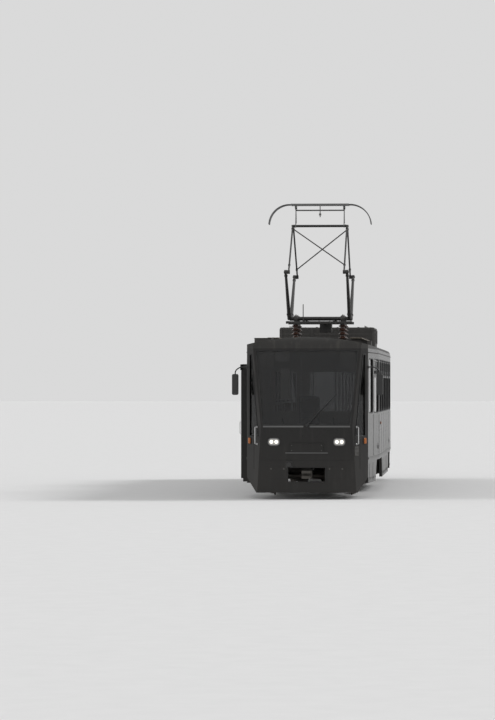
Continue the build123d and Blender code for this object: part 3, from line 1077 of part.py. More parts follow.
def make_pantograph():
    """Base frame on insulators, two lower arms, two upper arms and the collector head."""
    base_half = LOWER_ARM_Y + 60
    out = PANTO_SHAFT_OUT
    base = []
    for side in (1, -1):
        y, x, foot = side * BASE_BEAM_Y, PANTO_X + side * BASE_HALF_LENGTH, PANTO_BASE_Z - BASE_BEAM_DEPTH
        base.append(block(PANTO_X - BASE_HALF_LENGTH, PANTO_X + BASE_HALF_LENGTH, y - BASE_BEAM_HALF,
                          y + BASE_BEAM_HALF, foot, PANTO_BASE_Z))
        base.append(block(x - 40, x + 40, -base_half, base_half, foot, PANTO_BASE_Z))
    for x in (PANTO_X - out, PANTO_X + out):
        for y in (-BASE_BEAM_Y, BASE_BEAM_Y):
            base.append(block(x - 45, x + 45, y - 22, y + 22, PANTO_BASE_Z - 10, PANTO_SHAFT_Z)
                        + rod((x, y - 22, PANTO_SHAFT_Z), (x, y + 22, PANTO_SHAFT_Z), 55))
    base.append(block(PANTO_X - 200, PANTO_X + 200, 0, 240, PANTO_BASE_Z - 220, PANTO_BASE_Z - 40))
    base.append(block(PANTO_X - BASE_HALF_LENGTH, PANTO_X + BASE_HALF_LENGTH, 80, 160, PANTO_BASE_Z - 60,
                      PANTO_BASE_Z - 5))
    base.append(rod((PANTO_X + BASE_HALF_LENGTH, -323, PANTO_BASE_Z - 10),
                    (PANTO_X + BASE_HALF_LENGTH, -323, PANTO_BASE_Z + 343), 9))
    whole = fused(base)
    for x in (PANTO_X - out, PANTO_X + out):
        whole = whole - rod((x, -base_half - 9, PANTO_SHAFT_Z), (x, base_half + 9, PANTO_SHAFT_Z),
                            SHAFT_RADIUS + RUNNING_GAP)
    write(whole, "pantograph_base")

    insulators = []
    for x in (PANTO_X - INSULATOR_X, PANTO_X + INSULATOR_X):
        for y in (-BASE_BEAM_Y, BASE_BEAM_Y):
            top, foot = PANTO_BASE_Z - BASE_BEAM_DEPTH, ROOF_EDGE_Z
            core, shed = INSULATOR_RADIUS, INSULATOR_SHED_RADIUS
            outline = [(0, foot), (core, foot)]
            start = ROOF_CREST_Z + 15
            pitch = (top - start) / INSULATOR_SHEDS
            for k in range(INSULATOR_SHEDS):
                z = start + k * pitch
                outline += [(core, z + pitch * 0.1), (shed, z + pitch * 0.35), (shed, z + pitch * 0.45),
                            (core, z + pitch * 0.8)]
            outline += [(core, top), (0, top)]
            face = make_face(Polyline(*[(x + r, y, z) for r, z in outline], close=True))
            insulators.append(revolve(face, axis=Axis((x, y, 0), (0, 0, 1)), revolution_arc=360) - outer)
    write(Compound(children=[s for p in insulators for s in p.solids()]), "pantograph_insulators")

    for sign, name in ((1, "front"), (-1, "rear")):
        shaft = (PANTO_X + sign * out, PANTO_SHAFT_Z)
        knee = (PANTO_X + sign * PANTO_KNEE_OUT, PANTO_KNEE_Z)
        top = (PANTO_X + sign * PANTO_TOP_OUT, PANTO_TOP_Z)
        lower = rod((shaft[0], -LOWER_ARM_Y - 30, shaft[1]), (shaft[0], LOWER_ARM_Y + 30, shaft[1]),
                    SHAFT_RADIUS)
        holes = []
        for side in (1, -1):
            y = side * LOWER_ARM_Y
            lower = lower + taper((shaft[0], y, shaft[1]), (knee[0], y, knee[1]), LOWER_ARM_RADIUS,
                                  LOWER_ARM_TIP_RADIUS)
            boss, hole = eye(knee[0], y, knee[1], KNEE_RADIUS, KNEE_HALF, KNEE_PIN_RADIUS + RUNNING_GAP)
            lower = lower + boss
            holes.append(hole)
        for hole in holes:
            lower = lower - hole
        write(lower, "pantograph_lower_" + name)

        upper = rod((top[0], -UPPER_ARM_Y - 25, top[1]), (top[0], UPPER_ARM_Y + 25, top[1]),
                    UPPER_TUBE_RADIUS)
        for side in (1, -1):
            y = side * UPPER_ARM_Y
            upper = upper + rod((knee[0], y, knee[1]), (top[0], y, top[1]), UPPER_ARM_RADIUS)
            ends = sorted((side * (UPPER_ARM_Y - 25), side * (LOWER_ARM_Y - KNEE_HALF - RUNNING_GAP)))
            upper = upper + rod((knee[0], ends[0], knee[1]), (knee[0], ends[1], knee[1]), KNEE_RADIUS - 4)
            pin = sorted((side * UPPER_ARM_Y, side * (LOWER_ARM_Y + KNEE_HALF + 6)))
            upper = upper + rod((knee[0], pin[0], knee[1]), (knee[0], pin[1], knee[1]), KNEE_PIN_RADIUS)
        near = 0.06
        low = (knee[0] + (top[0] - knee[0]) * 0.15, knee[1] + (top[1] - knee[1]) * 0.15)
        high = (knee[0] + (top[0] - knee[0]) * (1 - near), knee[1] + (top[1] - knee[1]) * (1 - near))
        upper = upper + rod((high[0], -sign * UPPER_ARM_Y, high[1]), (low[0], sign * UPPER_ARM_Y, low[1]),
                            BRACE_RADIUS)
        write(upper, "pantograph_upper_" + name)

    front = PANTO_X + PANTO_TOP_OUT
    rear = PANTO_X - PANTO_TOP_OUT
    head = []
    post_y = UPPER_ARM_Y - HEAD_POST_IN
    for side in (1, -1):
        y = side * post_y
        bracket = [(front - 35, PANTO_TOP_Z - 35), (front + 35, PANTO_TOP_Z - 35),
                   (front + 35, PANTO_TOP_Z + 40), (PANTO_X + 40, HEAD_Z - 110),
                   (PANTO_X - 40, HEAD_Z - 110),
                   (rear - 20, PANTO_TOP_Z + 60), (rear + 20, PANTO_TOP_Z + 60), (PANTO_X, HEAD_Z - 190)]
        head.append(prism_y(bracket, y - 8, y + 8))
        head.append(rod((PANTO_X, y, HEAD_Z - 120), (PANTO_X, y, HEAD_Z - 20), 16))
    head.append(rod((PANTO_X, -post_y, HEAD_Z - 120), (PANTO_X, post_y, HEAD_Z - 120), 14))
    head.append(rod((PANTO_X, 0, HEAD_Z - 260), (PANTO_X, 0, HEAD_Z - 20), 10))
    head.append(rod((PANTO_X, 0, HEAD_Z - 225), (PANTO_X, 0, HEAD_Z - 185), 24))
    for sign in (1, -1):
        x = PANTO_X + sign * SKID_X
        head.append(block(x - 22, x + 22, -SKID_HALF, SKID_HALF, HEAD_Z - 26, HEAD_Z + 10))
        for side in (1, -1):
            path = ThreePointArc((x, side * (SKID_HALF - 15), HEAD_Z - 8),
                                 (x, side * HORN_BEND_Y, HORN_BEND_Z), (x, side * HORN_HALF, HORN_TIP_Z))
            plane = Plane(origin=path @ 0, z_dir=path % 0)
            head.append(sweep(plane * RegularPolygon(HORN_RADIUS, TUBE_SIDES), path=path))
        for y in (-post_y, 0, post_y):
            head.append(rod((x, y, HEAD_Z - 20), (PANTO_X, y, HEAD_Z - 30), 9))
    head_solid = fused(head)
    for side in (1, -1):
        y = side * post_y
        head_solid = head_solid - rod((front, y - 20, PANTO_TOP_Z), (front, y + 20, PANTO_TOP_Z),
                                      UPPER_TUBE_RADIUS + RUNNING_GAP)
    write(head_solid, "pantograph_head")


os.makedirs("parts", exist_ok=True)
make_shell()
make_floor_and_frame()
make_coupler(1)
make_coupler(-1)
make_bogie(1, "front")
make_bogie(-1, "rear")
make_doors()
make_cab()
make_saloon()
make_trim()
make_roof_gear()
make_pantograph()
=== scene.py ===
"""Looks of a four-axle tram car: finishes, window frames, lamps, running-gear and roof details."""

import json
import math
from contextlib import contextmanager

import bmesh
import bpy
from mathutils import Matrix, Vector


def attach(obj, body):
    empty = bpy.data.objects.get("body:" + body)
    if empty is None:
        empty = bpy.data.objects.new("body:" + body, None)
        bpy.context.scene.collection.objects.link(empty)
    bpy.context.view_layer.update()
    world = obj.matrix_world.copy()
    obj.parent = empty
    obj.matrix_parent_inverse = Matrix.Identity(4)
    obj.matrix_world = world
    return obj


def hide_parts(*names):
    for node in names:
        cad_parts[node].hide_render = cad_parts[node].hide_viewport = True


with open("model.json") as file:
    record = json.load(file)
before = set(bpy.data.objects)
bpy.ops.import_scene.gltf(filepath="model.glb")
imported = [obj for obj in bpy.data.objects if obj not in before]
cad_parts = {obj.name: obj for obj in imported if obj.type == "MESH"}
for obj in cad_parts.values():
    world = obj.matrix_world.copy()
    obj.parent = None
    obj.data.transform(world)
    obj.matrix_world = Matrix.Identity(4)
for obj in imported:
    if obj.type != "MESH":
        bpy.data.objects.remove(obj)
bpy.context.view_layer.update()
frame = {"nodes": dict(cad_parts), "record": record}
bpy.ops.object.select_all(action="DESELECT")

FLOAT = "NodeSocketFloat"
COLOR = "NodeSocketColor"


# Shader groups

def new_group(name, inputs, outputs):
    """An empty shader group with the given sockets: its tree, its input node and its output node."""
    tree = bpy.data.node_groups.new(name, "ShaderNodeTree")
    for label, kind, value in inputs:
        tree.interface.new_socket(label, in_out="INPUT", socket_type=kind).default_value = value
    for label, kind in outputs:
        tree.interface.new_socket(label, in_out="OUTPUT", socket_type=kind)
    return tree, tree.nodes.new("NodeGroupInput").outputs, tree.nodes.new("NodeGroupOutput").inputs


def feed(tree, socket, value):
    """Sets a socket to a value, or links it when the value is another socket."""
    if isinstance(value, bpy.types.NodeSocket):
        tree.links.new(value, socket)
    else:
        socket.default_value = value


def math_node(tree, operation, *values, clamp=False):
    """A Math node on the given values or sockets."""
    node = tree.nodes.new("ShaderNodeMath")
    node.operation = operation
    node.use_clamp = clamp
    for socket, value in zip(node.inputs, values):
        feed(tree, socket, value)
    return node.outputs[0]


def mix_color(tree, share, first, second, blend="MIX"):
    """A colour between two colours."""
    node = tree.nodes.new("ShaderNodeMix")
    node.data_type = "RGBA"
    node.blend_type = blend
    feed(tree, node.inputs["Factor"], share)
    feed(tree, node.inputs["A"], first)
    feed(tree, node.inputs["B"], second)
    return node.outputs["Result"]


def object_place(tree, scale=(1, 1, 1), shift=(0, 0, 0)):
    """Object coordinates, stretched and shifted."""
    coord = tree.nodes.new("ShaderNodeTexCoord").outputs["Object"]
    mapping = tree.nodes.new("ShaderNodeMapping")
    mapping.inputs["Scale"].default_value = scale
    mapping.inputs["Location"].default_value = shift
    tree.links.new(coord, mapping.inputs["Vector"])
    return mapping.outputs["Vector"]


def noise(tree, vector, scale, detail=4.0, roughness=0.55):
    """A noise value from 0 to 1."""
    node = tree.nodes.new("ShaderNodeTexNoise")
    tree.links.new(vector, node.inputs["Vector"])
    feed(tree, node.inputs["Scale"], scale)
    node.inputs["Detail"].default_value = detail
    node.inputs["Roughness"].default_value = roughness
    return node.outputs["Fac"]


def steps_between(tree, value, low, high):
    """0 below low, 1 above high, and smooth between them."""
    node = tree.nodes.new("ShaderNodeMapRange")
    node.interpolation_type = "SMOOTHSTEP"
    feed(tree, node.inputs["Value"], value)
    feed(tree, node.inputs["From Min"], low)
    feed(tree, node.inputs["From Max"], high)
    return node.outputs["Result"]


def weather_group():
    """Road dust that thins with height, rain streaks and a slow change of shade."""
    tree, take, give = new_group("weather", [
        ("Color", COLOR, (0.5, 0.5, 0.5, 1)), ("Dust Color", COLOR, (0.2, 0.18, 0.16, 1)),
        ("Dust Top", FLOAT, 1.0), ("Dust Reach", FLOAT, 1.0), ("Dust", FLOAT, 0.5), ("Streaks", FLOAT, 0.2),
        ("Shade Change", FLOAT, 0.1), ("Grain", FLOAT, 60.0), ("Roughness", FLOAT, 0.5),
    ], [("Color", COLOR), ("Roughness", FLOAT), ("Grain Height", FLOAT), ("Dust Mask", FLOAT)])
    place = object_place(tree)
    slow = noise(tree, place, 0.9, 5.0)
    grain = noise(tree, place, take["Grain"], 3.0)
    streak = noise(tree, object_place(tree, (5.0, 5.0, 0.35)), 2.2, 4.0, 0.6)
    split = tree.nodes.new("ShaderNodeSeparateXYZ")
    tree.links.new(place, split.inputs[0])
    depth = math_node(tree, "DIVIDE", math_node(tree, "SUBTRACT", take["Dust Top"], split.outputs["Z"]),
                      take["Dust Reach"], clamp=True)
    patchy = math_node(tree, "MULTIPLY_ADD", slow, 1.3, 0.25)
    dust = math_node(tree, "MULTIPLY", math_node(tree, "MULTIPLY", depth, patchy), take["Dust"], clamp=True)
    runs = math_node(tree, "MULTIPLY", steps_between(tree, streak, 0.5, 0.72), take["Streaks"], clamp=True)
    swing = math_node(tree, "MULTIPLY_ADD", math_node(tree, "SUBTRACT", slow, 0.5), 2.0,
                      math_node(tree, "SUBTRACT", grain, 0.5))
    shade = math_node(tree, "MULTIPLY_ADD", swing, take["Shade Change"], 1.0)
    shaded = tree.nodes.new("ShaderNodeVectorMath")
    shaded.operation = "SCALE"
    tree.links.new(take["Color"], shaded.inputs[0])
    tree.links.new(shade, shaded.inputs["Scale"])
    streaked = mix_color(tree, runs, shaded.outputs[0], take["Dust Color"])
    tree.links.new(mix_color(tree, dust, streaked, take["Dust Color"]), give["Color"])
    rough = math_node(tree, "MULTIPLY_ADD", dust, 0.45, take["Roughness"])
    rough = math_node(tree, "MULTIPLY_ADD", runs, 0.2, rough)
    rough = math_node(tree, "MULTIPLY_ADD", math_node(tree, "SUBTRACT", grain, 0.5), 0.12, rough, clamp=True)
    tree.links.new(rough, give["Roughness"])
    tree.links.new(grain, give["Grain Height"])
    tree.links.new(dust, give["Dust Mask"])
    return tree


def chips_group():
    """Small chips and rubbed spots where paint has gone: a mask with a second colour."""
    tree, take, give = new_group("chips", [
        ("Color", COLOR, (0.5, 0.5, 0.5, 1)), ("Bare Color", COLOR, (0.2, 0.12, 0.08, 1)),
        ("Scale", FLOAT, 8.0), ("Amount", FLOAT, 0.3),
    ], [("Color", COLOR), ("Mask", FLOAT)])
    place = object_place(tree)
    coarse = noise(tree, place, take["Scale"], 6.0, 0.7)
    edge = math_node(tree, "MULTIPLY_ADD", take["Amount"], -0.25, 0.78)
    mask = steps_between(tree, coarse, edge, math_node(tree, "ADD", edge, 0.04))
    tree.links.new(mix_color(tree, mask, take["Color"], take["Bare Color"]), give["Color"])
    tree.links.new(mask, give["Mask"])
    return tree


def brushed_group():
    """Fine parallel scratches along one axis, for drawn and rolled metal."""
    tree, take, give = new_group("brushed", [
        ("Color", COLOR, (0.5, 0.5, 0.5, 1)), ("Roughness", FLOAT, 0.35), ("Depth", FLOAT, 0.15),
    ], [("Color", COLOR), ("Roughness", FLOAT), ("Height", FLOAT)])
    lines = noise(tree, object_place(tree, (2.0, 220.0, 220.0)), 1.0, 2.0)
    blotch = noise(tree, object_place(tree), 7.0, 3.0)
    swing = math_node(tree, "SUBTRACT", lines, 0.5)
    shade = math_node(tree, "MULTIPLY_ADD", swing, take["Depth"], 1.0)
    scaled = tree.nodes.new("ShaderNodeVectorMath")
    scaled.operation = "SCALE"
    tree.links.new(take["Color"], scaled.inputs[0])
    tree.links.new(shade, scaled.inputs["Scale"])
    tree.links.new(scaled.outputs[0], give["Color"])
    rough = math_node(tree, "MULTIPLY_ADD", math_node(tree, "SUBTRACT", blotch, 0.5), 0.3, take["Roughness"])
    tree.links.new(math_node(tree, "MULTIPLY_ADD", swing, 0.2, rough, clamp=True), give["Roughness"])
    tree.links.new(lines, give["Height"])
    return tree


WEATHER = weather_group()
CHIPS = chips_group()
BRUSHED = brushed_group()


# Materials

def new_material(name, **shader_values):
    """A material with its shader, and the values set on the shader's own sockets."""
    material = bpy.data.materials.new(name)
    material.use_nodes = True
    shader = material.node_tree.nodes["Principled BSDF"]
    for label, value in shader_values.items():
        shader.inputs[label.replace("_", " ")].default_value = value
    return material, material.node_tree, shader


def use_group(tree, group, **values):
    """A group node with its inputs set or linked."""
    node = tree.nodes.new("ShaderNodeGroup")
    node.node_tree = group
    for label, value in values.items():
        feed(tree, node.inputs[label.replace("_", " ")], value)
    return node.outputs


def bump(tree, shader, height, strength, distance=0.002):
    """Bump from a height, feeding the shader's normal."""
    node = tree.nodes.new("ShaderNodeBump")
    node.inputs["Strength"].default_value = strength
    node.inputs["Distance"].default_value = distance
    tree.links.new(height, node.inputs["Height"])
    tree.links.new(node.outputs["Normal"], shader.inputs["Normal"])


def grey(value, warm=0.0):
    """A near-neutral colour, a little warmer or colder."""
    return (value * (1 + warm), value, value * (1 - warm), 1)


ROAD_DUST = (0.105, 0.098, 0.088, 1)
LAMP_PLACE = (0.615, 1.082)
LAMP_CORE = 0.045


def painted(name, color, roughness=0.32, dust_top=1.6, dust_reach=1.5, dust=0.45, streaks=0.15,
            chips=0.0, bare=(0.09, 0.045, 0.028, 1), coat=0.35, shine=0.4, grain=90.0, bump_strength=0.08):
    """Coach paint over sheet metal, with road dust, rain streaks and, where worn, chips."""
    material, tree, shader = new_material(name, Coat_Weight=coat, Coat_Roughness=0.18, Specular_IOR_Level=shine)
    worn = use_group(tree, CHIPS, Color=color, Bare_Color=bare, Scale=9.0, Amount=chips)
    out = use_group(tree, WEATHER, Color=worn["Color"] if chips else color, Dust_Color=ROAD_DUST,
                    Dust_Top=dust_top, Dust_Reach=dust_reach, Dust=dust, Streaks=streaks,
                    Shade_Change=0.12, Grain=grain, Roughness=roughness)
    tree.links.new(out["Color"], shader.inputs["Base Color"])
    tree.links.new(out["Roughness"], shader.inputs["Roughness"])
    bump(tree, shader, out["Grain Height"], bump_strength)
    return material


def worn_metal(name, color, roughness, metallic=1.0, dust_top=1.0, dust_reach=1.0, dust=0.3, depth=0.2):
    """Bare or bright metal with fine drawn lines and settled dust."""
    material, tree, shader = new_material(name, Metallic=metallic)
    lines = use_group(tree, BRUSHED, Color=color, Roughness=roughness, Depth=depth)
    out = use_group(tree, WEATHER, Color=lines["Color"], Dust_Color=ROAD_DUST, Dust_Top=dust_top,
                    Dust_Reach=dust_reach, Dust=dust, Streaks=0.1, Shade_Change=0.15, Grain=140.0,
                    Roughness=roughness)
    tree.links.new(out["Color"], shader.inputs["Base Color"])
    tree.links.new(out["Roughness"], shader.inputs["Roughness"])
    bump(tree, shader, lines["Height"], 0.06)
    return material


def soft_plastic(name, color, roughness=0.55, grain=220.0, bump_strength=0.25, dust_top=1.0, dust=0.2):
    """Moulded plastic, rubber or laminate with a fine pebbled surface."""
    material, tree, shader = new_material(name)
    out = use_group(tree, WEATHER, Color=color, Dust_Color=ROAD_DUST, Dust_Top=dust_top, Dust_Reach=1.0,
                    Dust=dust, Streaks=0.05, Shade_Change=0.1, Grain=grain, Roughness=roughness)
    tree.links.new(out["Color"], shader.inputs["Base Color"])
    tree.links.new(out["Roughness"], shader.inputs["Roughness"])
    bump(tree, shader, out["Grain Height"], bump_strength, 0.001)
    return material


def window_glass(name, color, dust):
    """Tinted glass with a dusty film that is thicker low down."""
    material, tree, shader = new_material(name, Transmission_Weight=0.97, IOR=1.36)
    out = use_group(tree, WEATHER, Color=color, Dust_Color=ROAD_DUST, Dust_Top=2.3, Dust_Reach=1.3, Dust=dust,
                    Streaks=0.06, Shade_Change=0.05, Grain=30.0, Roughness=0.03)
    tree.links.new(out["Color"], shader.inputs["Base Color"])
    tree.links.new(math_node(tree, "MULTIPLY", out["Dust Mask"], 0.10), shader.inputs["Roughness"])
    return material


def lamp_glass(name, color, strength):
    """A lit ribbed lens with two bright cores: the lamps lie at the same distance left and right."""
    material, tree, shader = new_material(name, Roughness=0.12, Coat_Weight=0.8, Emission_Strength=strength)
    unlit = tuple(share * 0.3 for share in color[:3]) + (1,)
    ribs = tree.nodes.new("ShaderNodeTexWave")
    ribs.bands_direction = "Y"
    ribs.inputs["Scale"].default_value = 26.0
    tree.links.new(object_place(tree), ribs.inputs["Vector"])
    split = tree.nodes.new("ShaderNodeSeparateXYZ")
    tree.links.new(object_place(tree), split.inputs[0])
    across = math_node(tree, "SUBTRACT", math_node(tree, "ABSOLUTE", split.outputs["Y"]), LAMP_PLACE[0])
    nearest = math_node(tree, "SUBTRACT", math_node(tree, "ABSOLUTE", across), LAMP_CORE)
    rise = math_node(tree, "SUBTRACT", split.outputs["Z"], LAMP_PLACE[1])
    far = math_node(tree, "SQRT", math_node(tree, "ADD", math_node(tree, "MULTIPLY", nearest, nearest),
                                            math_node(tree, "MULTIPLY", rise, rise)))
    core = math_node(tree, "SUBTRACT", 1.0, steps_between(tree, far, 0.010, 0.042))
    ribbed = mix_color(tree, math_node(tree, "MULTIPLY", ribs.outputs["Fac"], 0.4), color, (1, 1, 1, 1))
    tree.links.new(mix_color(tree, ribs.outputs["Fac"], unlit, grey(0.45)), shader.inputs["Base Color"])
    tree.links.new(mix_color(tree, core, grey(0.015), ribbed), shader.inputs["Emission Color"])
    bump(tree, shader, ribs.outputs["Fac"], 0.4)
    return material


def mirror_glass(name):
    """Silvered glass with a little dust."""
    material, tree, shader = new_material(name, Metallic=1.0)
    out = use_group(tree, WEATHER, Color=grey(0.82), Dust_Color=ROAD_DUST, Dust_Top=3.2, Dust_Reach=2.0,
                    Dust=0.15, Streaks=0.05, Shade_Change=0.03, Grain=40.0, Roughness=0.05)
    tree.links.new(out["Color"], shader.inputs["Base Color"])
    tree.links.new(out["Roughness"], shader.inputs["Roughness"])
    return material


def woven_cloth(name, color):
    """A plain weave from two crossed sets of fine threads."""
    material, tree, shader = new_material(name, Roughness=0.95, Specular_IOR_Level=0.2, Sheen_Weight=0.3)
    threads = []
    for direction in ("X", "Y"):
        wave = tree.nodes.new("ShaderNodeTexWave")
        wave.bands_direction = direction
        wave.inputs["Scale"].default_value = 160.0
        wave.inputs["Distortion"].default_value = 0.6
        tree.links.new(object_place(tree), wave.inputs["Vector"])
        threads.append(wave.outputs["Fac"])
    weave = math_node(tree, "MULTIPLY", threads[0], threads[1])
    fleck = noise(tree, object_place(tree), 90.0, 3.0)
    dark = tuple(c * 0.55 for c in color[:3]) + (1,)
    tree.links.new(mix_color(tree, math_node(tree, "MULTIPLY", weave, fleck), dark, color),
                   shader.inputs["Base Color"])
    bump(tree, shader, weave, 0.5, 0.001)
    return material


def weathered_wood(name, color):
    """Bare boards with grain along X."""
    material, tree, shader = new_material(name, Roughness=0.8)
    grain = noise(tree, object_place(tree, (1.2, 26.0, 26.0)), 2.5, 6.0, 0.65)
    dark = tuple(c * 0.45 for c in color[:3]) + (1,)
    shade = mix_color(tree, steps_between(tree, grain, 0.35, 0.7), dark, color)
    out = use_group(tree, WEATHER, Color=shade, Dust_Color=grey(0.05), Dust_Top=5.0, Dust_Reach=4.0, Dust=0.4,
                    Streaks=0.0, Shade_Change=0.2, Grain=60.0, Roughness=0.8)
    tree.links.new(out["Color"], shader.inputs["Base Color"])
    bump(tree, shader, grain, 0.5)
    return material


FINISH = {
    "body_paint": painted("body_paint", grey(0.021, 0.03), roughness=0.28, chips=0.02, coat=0.08, shine=0.15,
                          dust_top=1.3, dust=0.16, streaks=0.08),
    "roof_paint": painted("roof_paint", grey(0.024, 0.01), roughness=0.55, shine=0.2, coat=0.05, dust_top=4.5, dust_reach=3.0,
                          dust=0.25, streaks=0.3, chips=0.15),
    "window_glass": window_glass("window_glass", grey(0.17, -0.02), 0.07),
    "floor_covering": soft_plastic("floor_covering", grey(0.06, 0.05), 0.7, 160.0),
    "step_metal": worn_metal("step_metal", grey(0.35), 0.45, dust=0.5),
    "frame_paint": painted("frame_paint", grey(0.014, 0.05), roughness=0.6, dust_top=1.2, dust_reach=0.9, dust=0.7,
                           chips=0.3, coat=0.0, streaks=0.3, bump_strength=0.2),
    "lining": soft_plastic("lining", (0.34, 0.31, 0.26, 1), 0.5, 120.0, 0.1, dust=0.05),
    "desk_plastic": soft_plastic("desk_plastic", grey(0.05), 0.5),
    "seat_cover": soft_plastic("seat_cover", grey(0.045, 0.1), 0.55, 180.0, 0.4),
    "seat_shell": soft_plastic("seat_shell", (0.11, 0.055, 0.035, 1), 0.5, 180.0, 0.35),
    "rail_steel": worn_metal("rail_steel", grey(0.6), 0.3, dust=0.05),
    "lamp_glass": lamp_glass("lamp_glass", (1.0, 0.93, 0.78, 1), 3.0),
    "red_lens": soft_plastic("red_lens", (0.30, 0.012, 0.012, 1), 0.15, 60.0, 0.1),
    "trim_metal": worn_metal("trim_metal", grey(0.15), 0.42, dust=0.4),
    "black_rubber": soft_plastic("black_rubber", grey(0.016), 0.65, 200.0, 0.3),
    "black_plastic": soft_plastic("black_plastic", grey(0.02), 0.45, 200.0, 0.2),
    "roof_gear_paint": painted("roof_gear_paint", grey(0.055, 0.03), roughness=0.6, dust_top=4.5, dust_reach=2.0,
                               dust=0.3, chips=0.35, coat=0.0, streaks=0.3),
    "board_wood": weathered_wood("board_wood", (0.20, 0.17, 0.135, 1)),
    "pantograph_steel": painted("pantograph_steel", grey(0.03), roughness=0.5, dust_top=7.0, dust_reach=6.0,
                                dust=0.25, chips=0.4, coat=0.0, grain=200.0),
    "contact_metal": worn_metal("contact_metal", grey(0.16), 0.4, dust=0.05),
    "insulator_ceramic": soft_plastic("insulator_ceramic", (0.042, 0.017, 0.010, 1), 0.18, 40.0, 0.05),
    "cast_steel": painted("cast_steel", grey(0.03, 0.1), roughness=0.75, dust_top=1.2, dust_reach=1.0, dust=0.8,
                          chips=0.4, coat=0.0, grain=50.0, bump_strength=0.5),
    "spring_steel": painted("spring_steel", grey(0.02), roughness=0.5, dust=0.6, chips=0.2, coat=0.0),
    "wheel_steel": worn_metal("wheel_steel", grey(0.18, 0.1), 0.42, dust=0.55),
    "amber_lens": soft_plastic("amber_lens", (0.32, 0.085, 0.006, 1), 0.15, 60.0, 0.1),
    "mirror_glass": mirror_glass("mirror_glass"),
    "blank_plate": painted("blank_plate", (0.50, 0.48, 0.42, 1), roughness=0.5, coat=0.1, dust=0.2, chips=0.05),
    "frosted_cover": soft_plastic("frosted_cover", (0.62, 0.61, 0.56, 1), 0.35, 120.0, 0.05, dust=0.0),
    "seat_cloth": woven_cloth("seat_cloth", (0.06, 0.062, 0.075, 1)),
}


def dress(node, finish):
    """Gives a CAD node its material."""
    mesh = frame["nodes"][node].data
    mesh.materials.clear()
    mesh.materials.append(FINISH[finish])


for row in frame["record"]["subparts"]:
    dress(row["node"], row["material_slot"])


# Places on the body's surfaces. Each is a matrix: X to the right as seen from outside, Y up, Z outwards.

HALF_LENGTH, HALF_WIDTH = 7.5, 1.275
APRON_Z, BELT_Z, BROW_Z = 0.125, 1.37, 2.87
CHIN_BACK, BROW_BACK = 0.10, 0.215
TAPER_X, CORNER_X = 4.35, 7.125
CORNER_HALF, FLAT_HALF = 1.144, 0.859
ROOF_EDGE_Y, ROOF_EDGE_Z, ROOF_CREST_Z = 1.15, 2.915, 3.055
ROOF_RISE = ROOF_CREST_Z - ROOF_EDGE_Z
ROOF_RADIUS = (ROOF_EDGE_Y ** 2 + ROOF_RISE ** 2) / (2 * ROOF_RISE)
ABOUT = Matrix.Rotation(math.pi, 4, "Z")
SWELL_LIMIT = 0.016


def place(origin, right, up):
    """The matrix of a flat place."""
    right = Vector(right).normalized()
    out = right.cross(Vector(up)).normalized()
    spot = Matrix((right, out.cross(right), out)).transposed().to_4x4()
    spot.translation = Vector(origin)
    return spot


def out_by(spot, distance, right=0.0, up=0.0):
    """The same place, moved outwards, to the right or up."""
    return spot @ Matrix.Translation((right, up, distance))


def turn(spot, degrees):
    """The same place, turned in its own plane."""
    return spot @ Matrix.Rotation(math.radians(degrees), 4, "Z")


def on_end(y, z, end=1):
    """A place on the flat of an end: it leans back above the belt and draws in below it."""
    if z < BELT_Z:
        slope = CHIN_BACK / (BELT_Z - APRON_Z)
    else:
        slope = -BROW_BACK / (BROW_Z - BELT_Z)
    spot = place((HALF_LENGTH - abs(z - BELT_Z) * abs(slope), y, z), (0, 1, 0), (slope, 0, 1))
    return spot if end > 0 else ABOUT @ spot


def on_corner(side, share, z, end=1):
    """A place on the slanted corner beside the flat, from 0 at the flat to 1 at the side wall."""
    depth, reach = HALF_LENGTH - CORNER_X, CORNER_HALF - FLAT_HALF
    spot = place((HALF_LENGTH - depth * share, side * (FLAT_HALF + reach * share), z),
                 (-side * depth, reach, 0), (0, 0, 1))
    return spot if end > 0 else ABOUT @ spot


def wall_y(x):
    """Half the body's width at x."""
    return HALF_WIDTH - max(0.0, abs(x) - TAPER_X) * (HALF_WIDTH - CORNER_HALF) / (CORNER_X - TAPER_X)


def on_side(side, x, z):
    """A place on a side wall. Side 1 is the car's left."""
    slope = 0.0
    if abs(x) > TAPER_X:
        slope = -(HALF_WIDTH - CORNER_HALF) / (CORNER_X - TAPER_X) * (1 if x > 0 else -1)
    return place((x, side * wall_y(x), z), (-side, -slope, 0), (0, 0, 1))


def roof_z(y):
    """Height of the roof's arc."""
    return ROOF_CREST_Z - ROOF_RADIUS + math.sqrt(ROOF_RADIUS ** 2 - y * y)


def on_top(x, y, z):
    """A level place, seen from above with the car's front to the right."""
    return place((x, y, z), (1, 0, 0), (0, 1, 0))


# Making tools. A template lies on the XY plane with its back at Z 0.

def alone(obj):
    """Selects only this object and makes it active."""
    bpy.ops.object.select_all(action="DESELECT")
    obj.select_set(True)
    bpy.context.view_layer.objects.active = obj
    return obj


@contextmanager
def editing(obj, kind="EDGE"):
    """Edit mode with all of the object's mesh selected."""
    alone(obj)
    bpy.ops.object.mode_set(mode="EDIT")
    bpy.ops.mesh.select_mode(type=kind)
    bpy.ops.mesh.select_all(action="SELECT")
    yield
    bpy.ops.object.mode_set(mode="OBJECT")


def pick(kind, test):
    """In edit mode, selects only the vertices, edges or faces that pass the test."""
    bpy.ops.mesh.select_mode(type=kind)
    bpy.ops.mesh.select_all(action="DESELECT")
    mesh = bmesh.from_edit_mesh(bpy.context.object.data)
    for part in {"VERT": mesh.verts, "EDGE": mesh.edges, "FACE": mesh.faces}[kind]:
        if test(part):
            part.select_set(True)
    bmesh.update_edit_mesh(bpy.context.object.data)


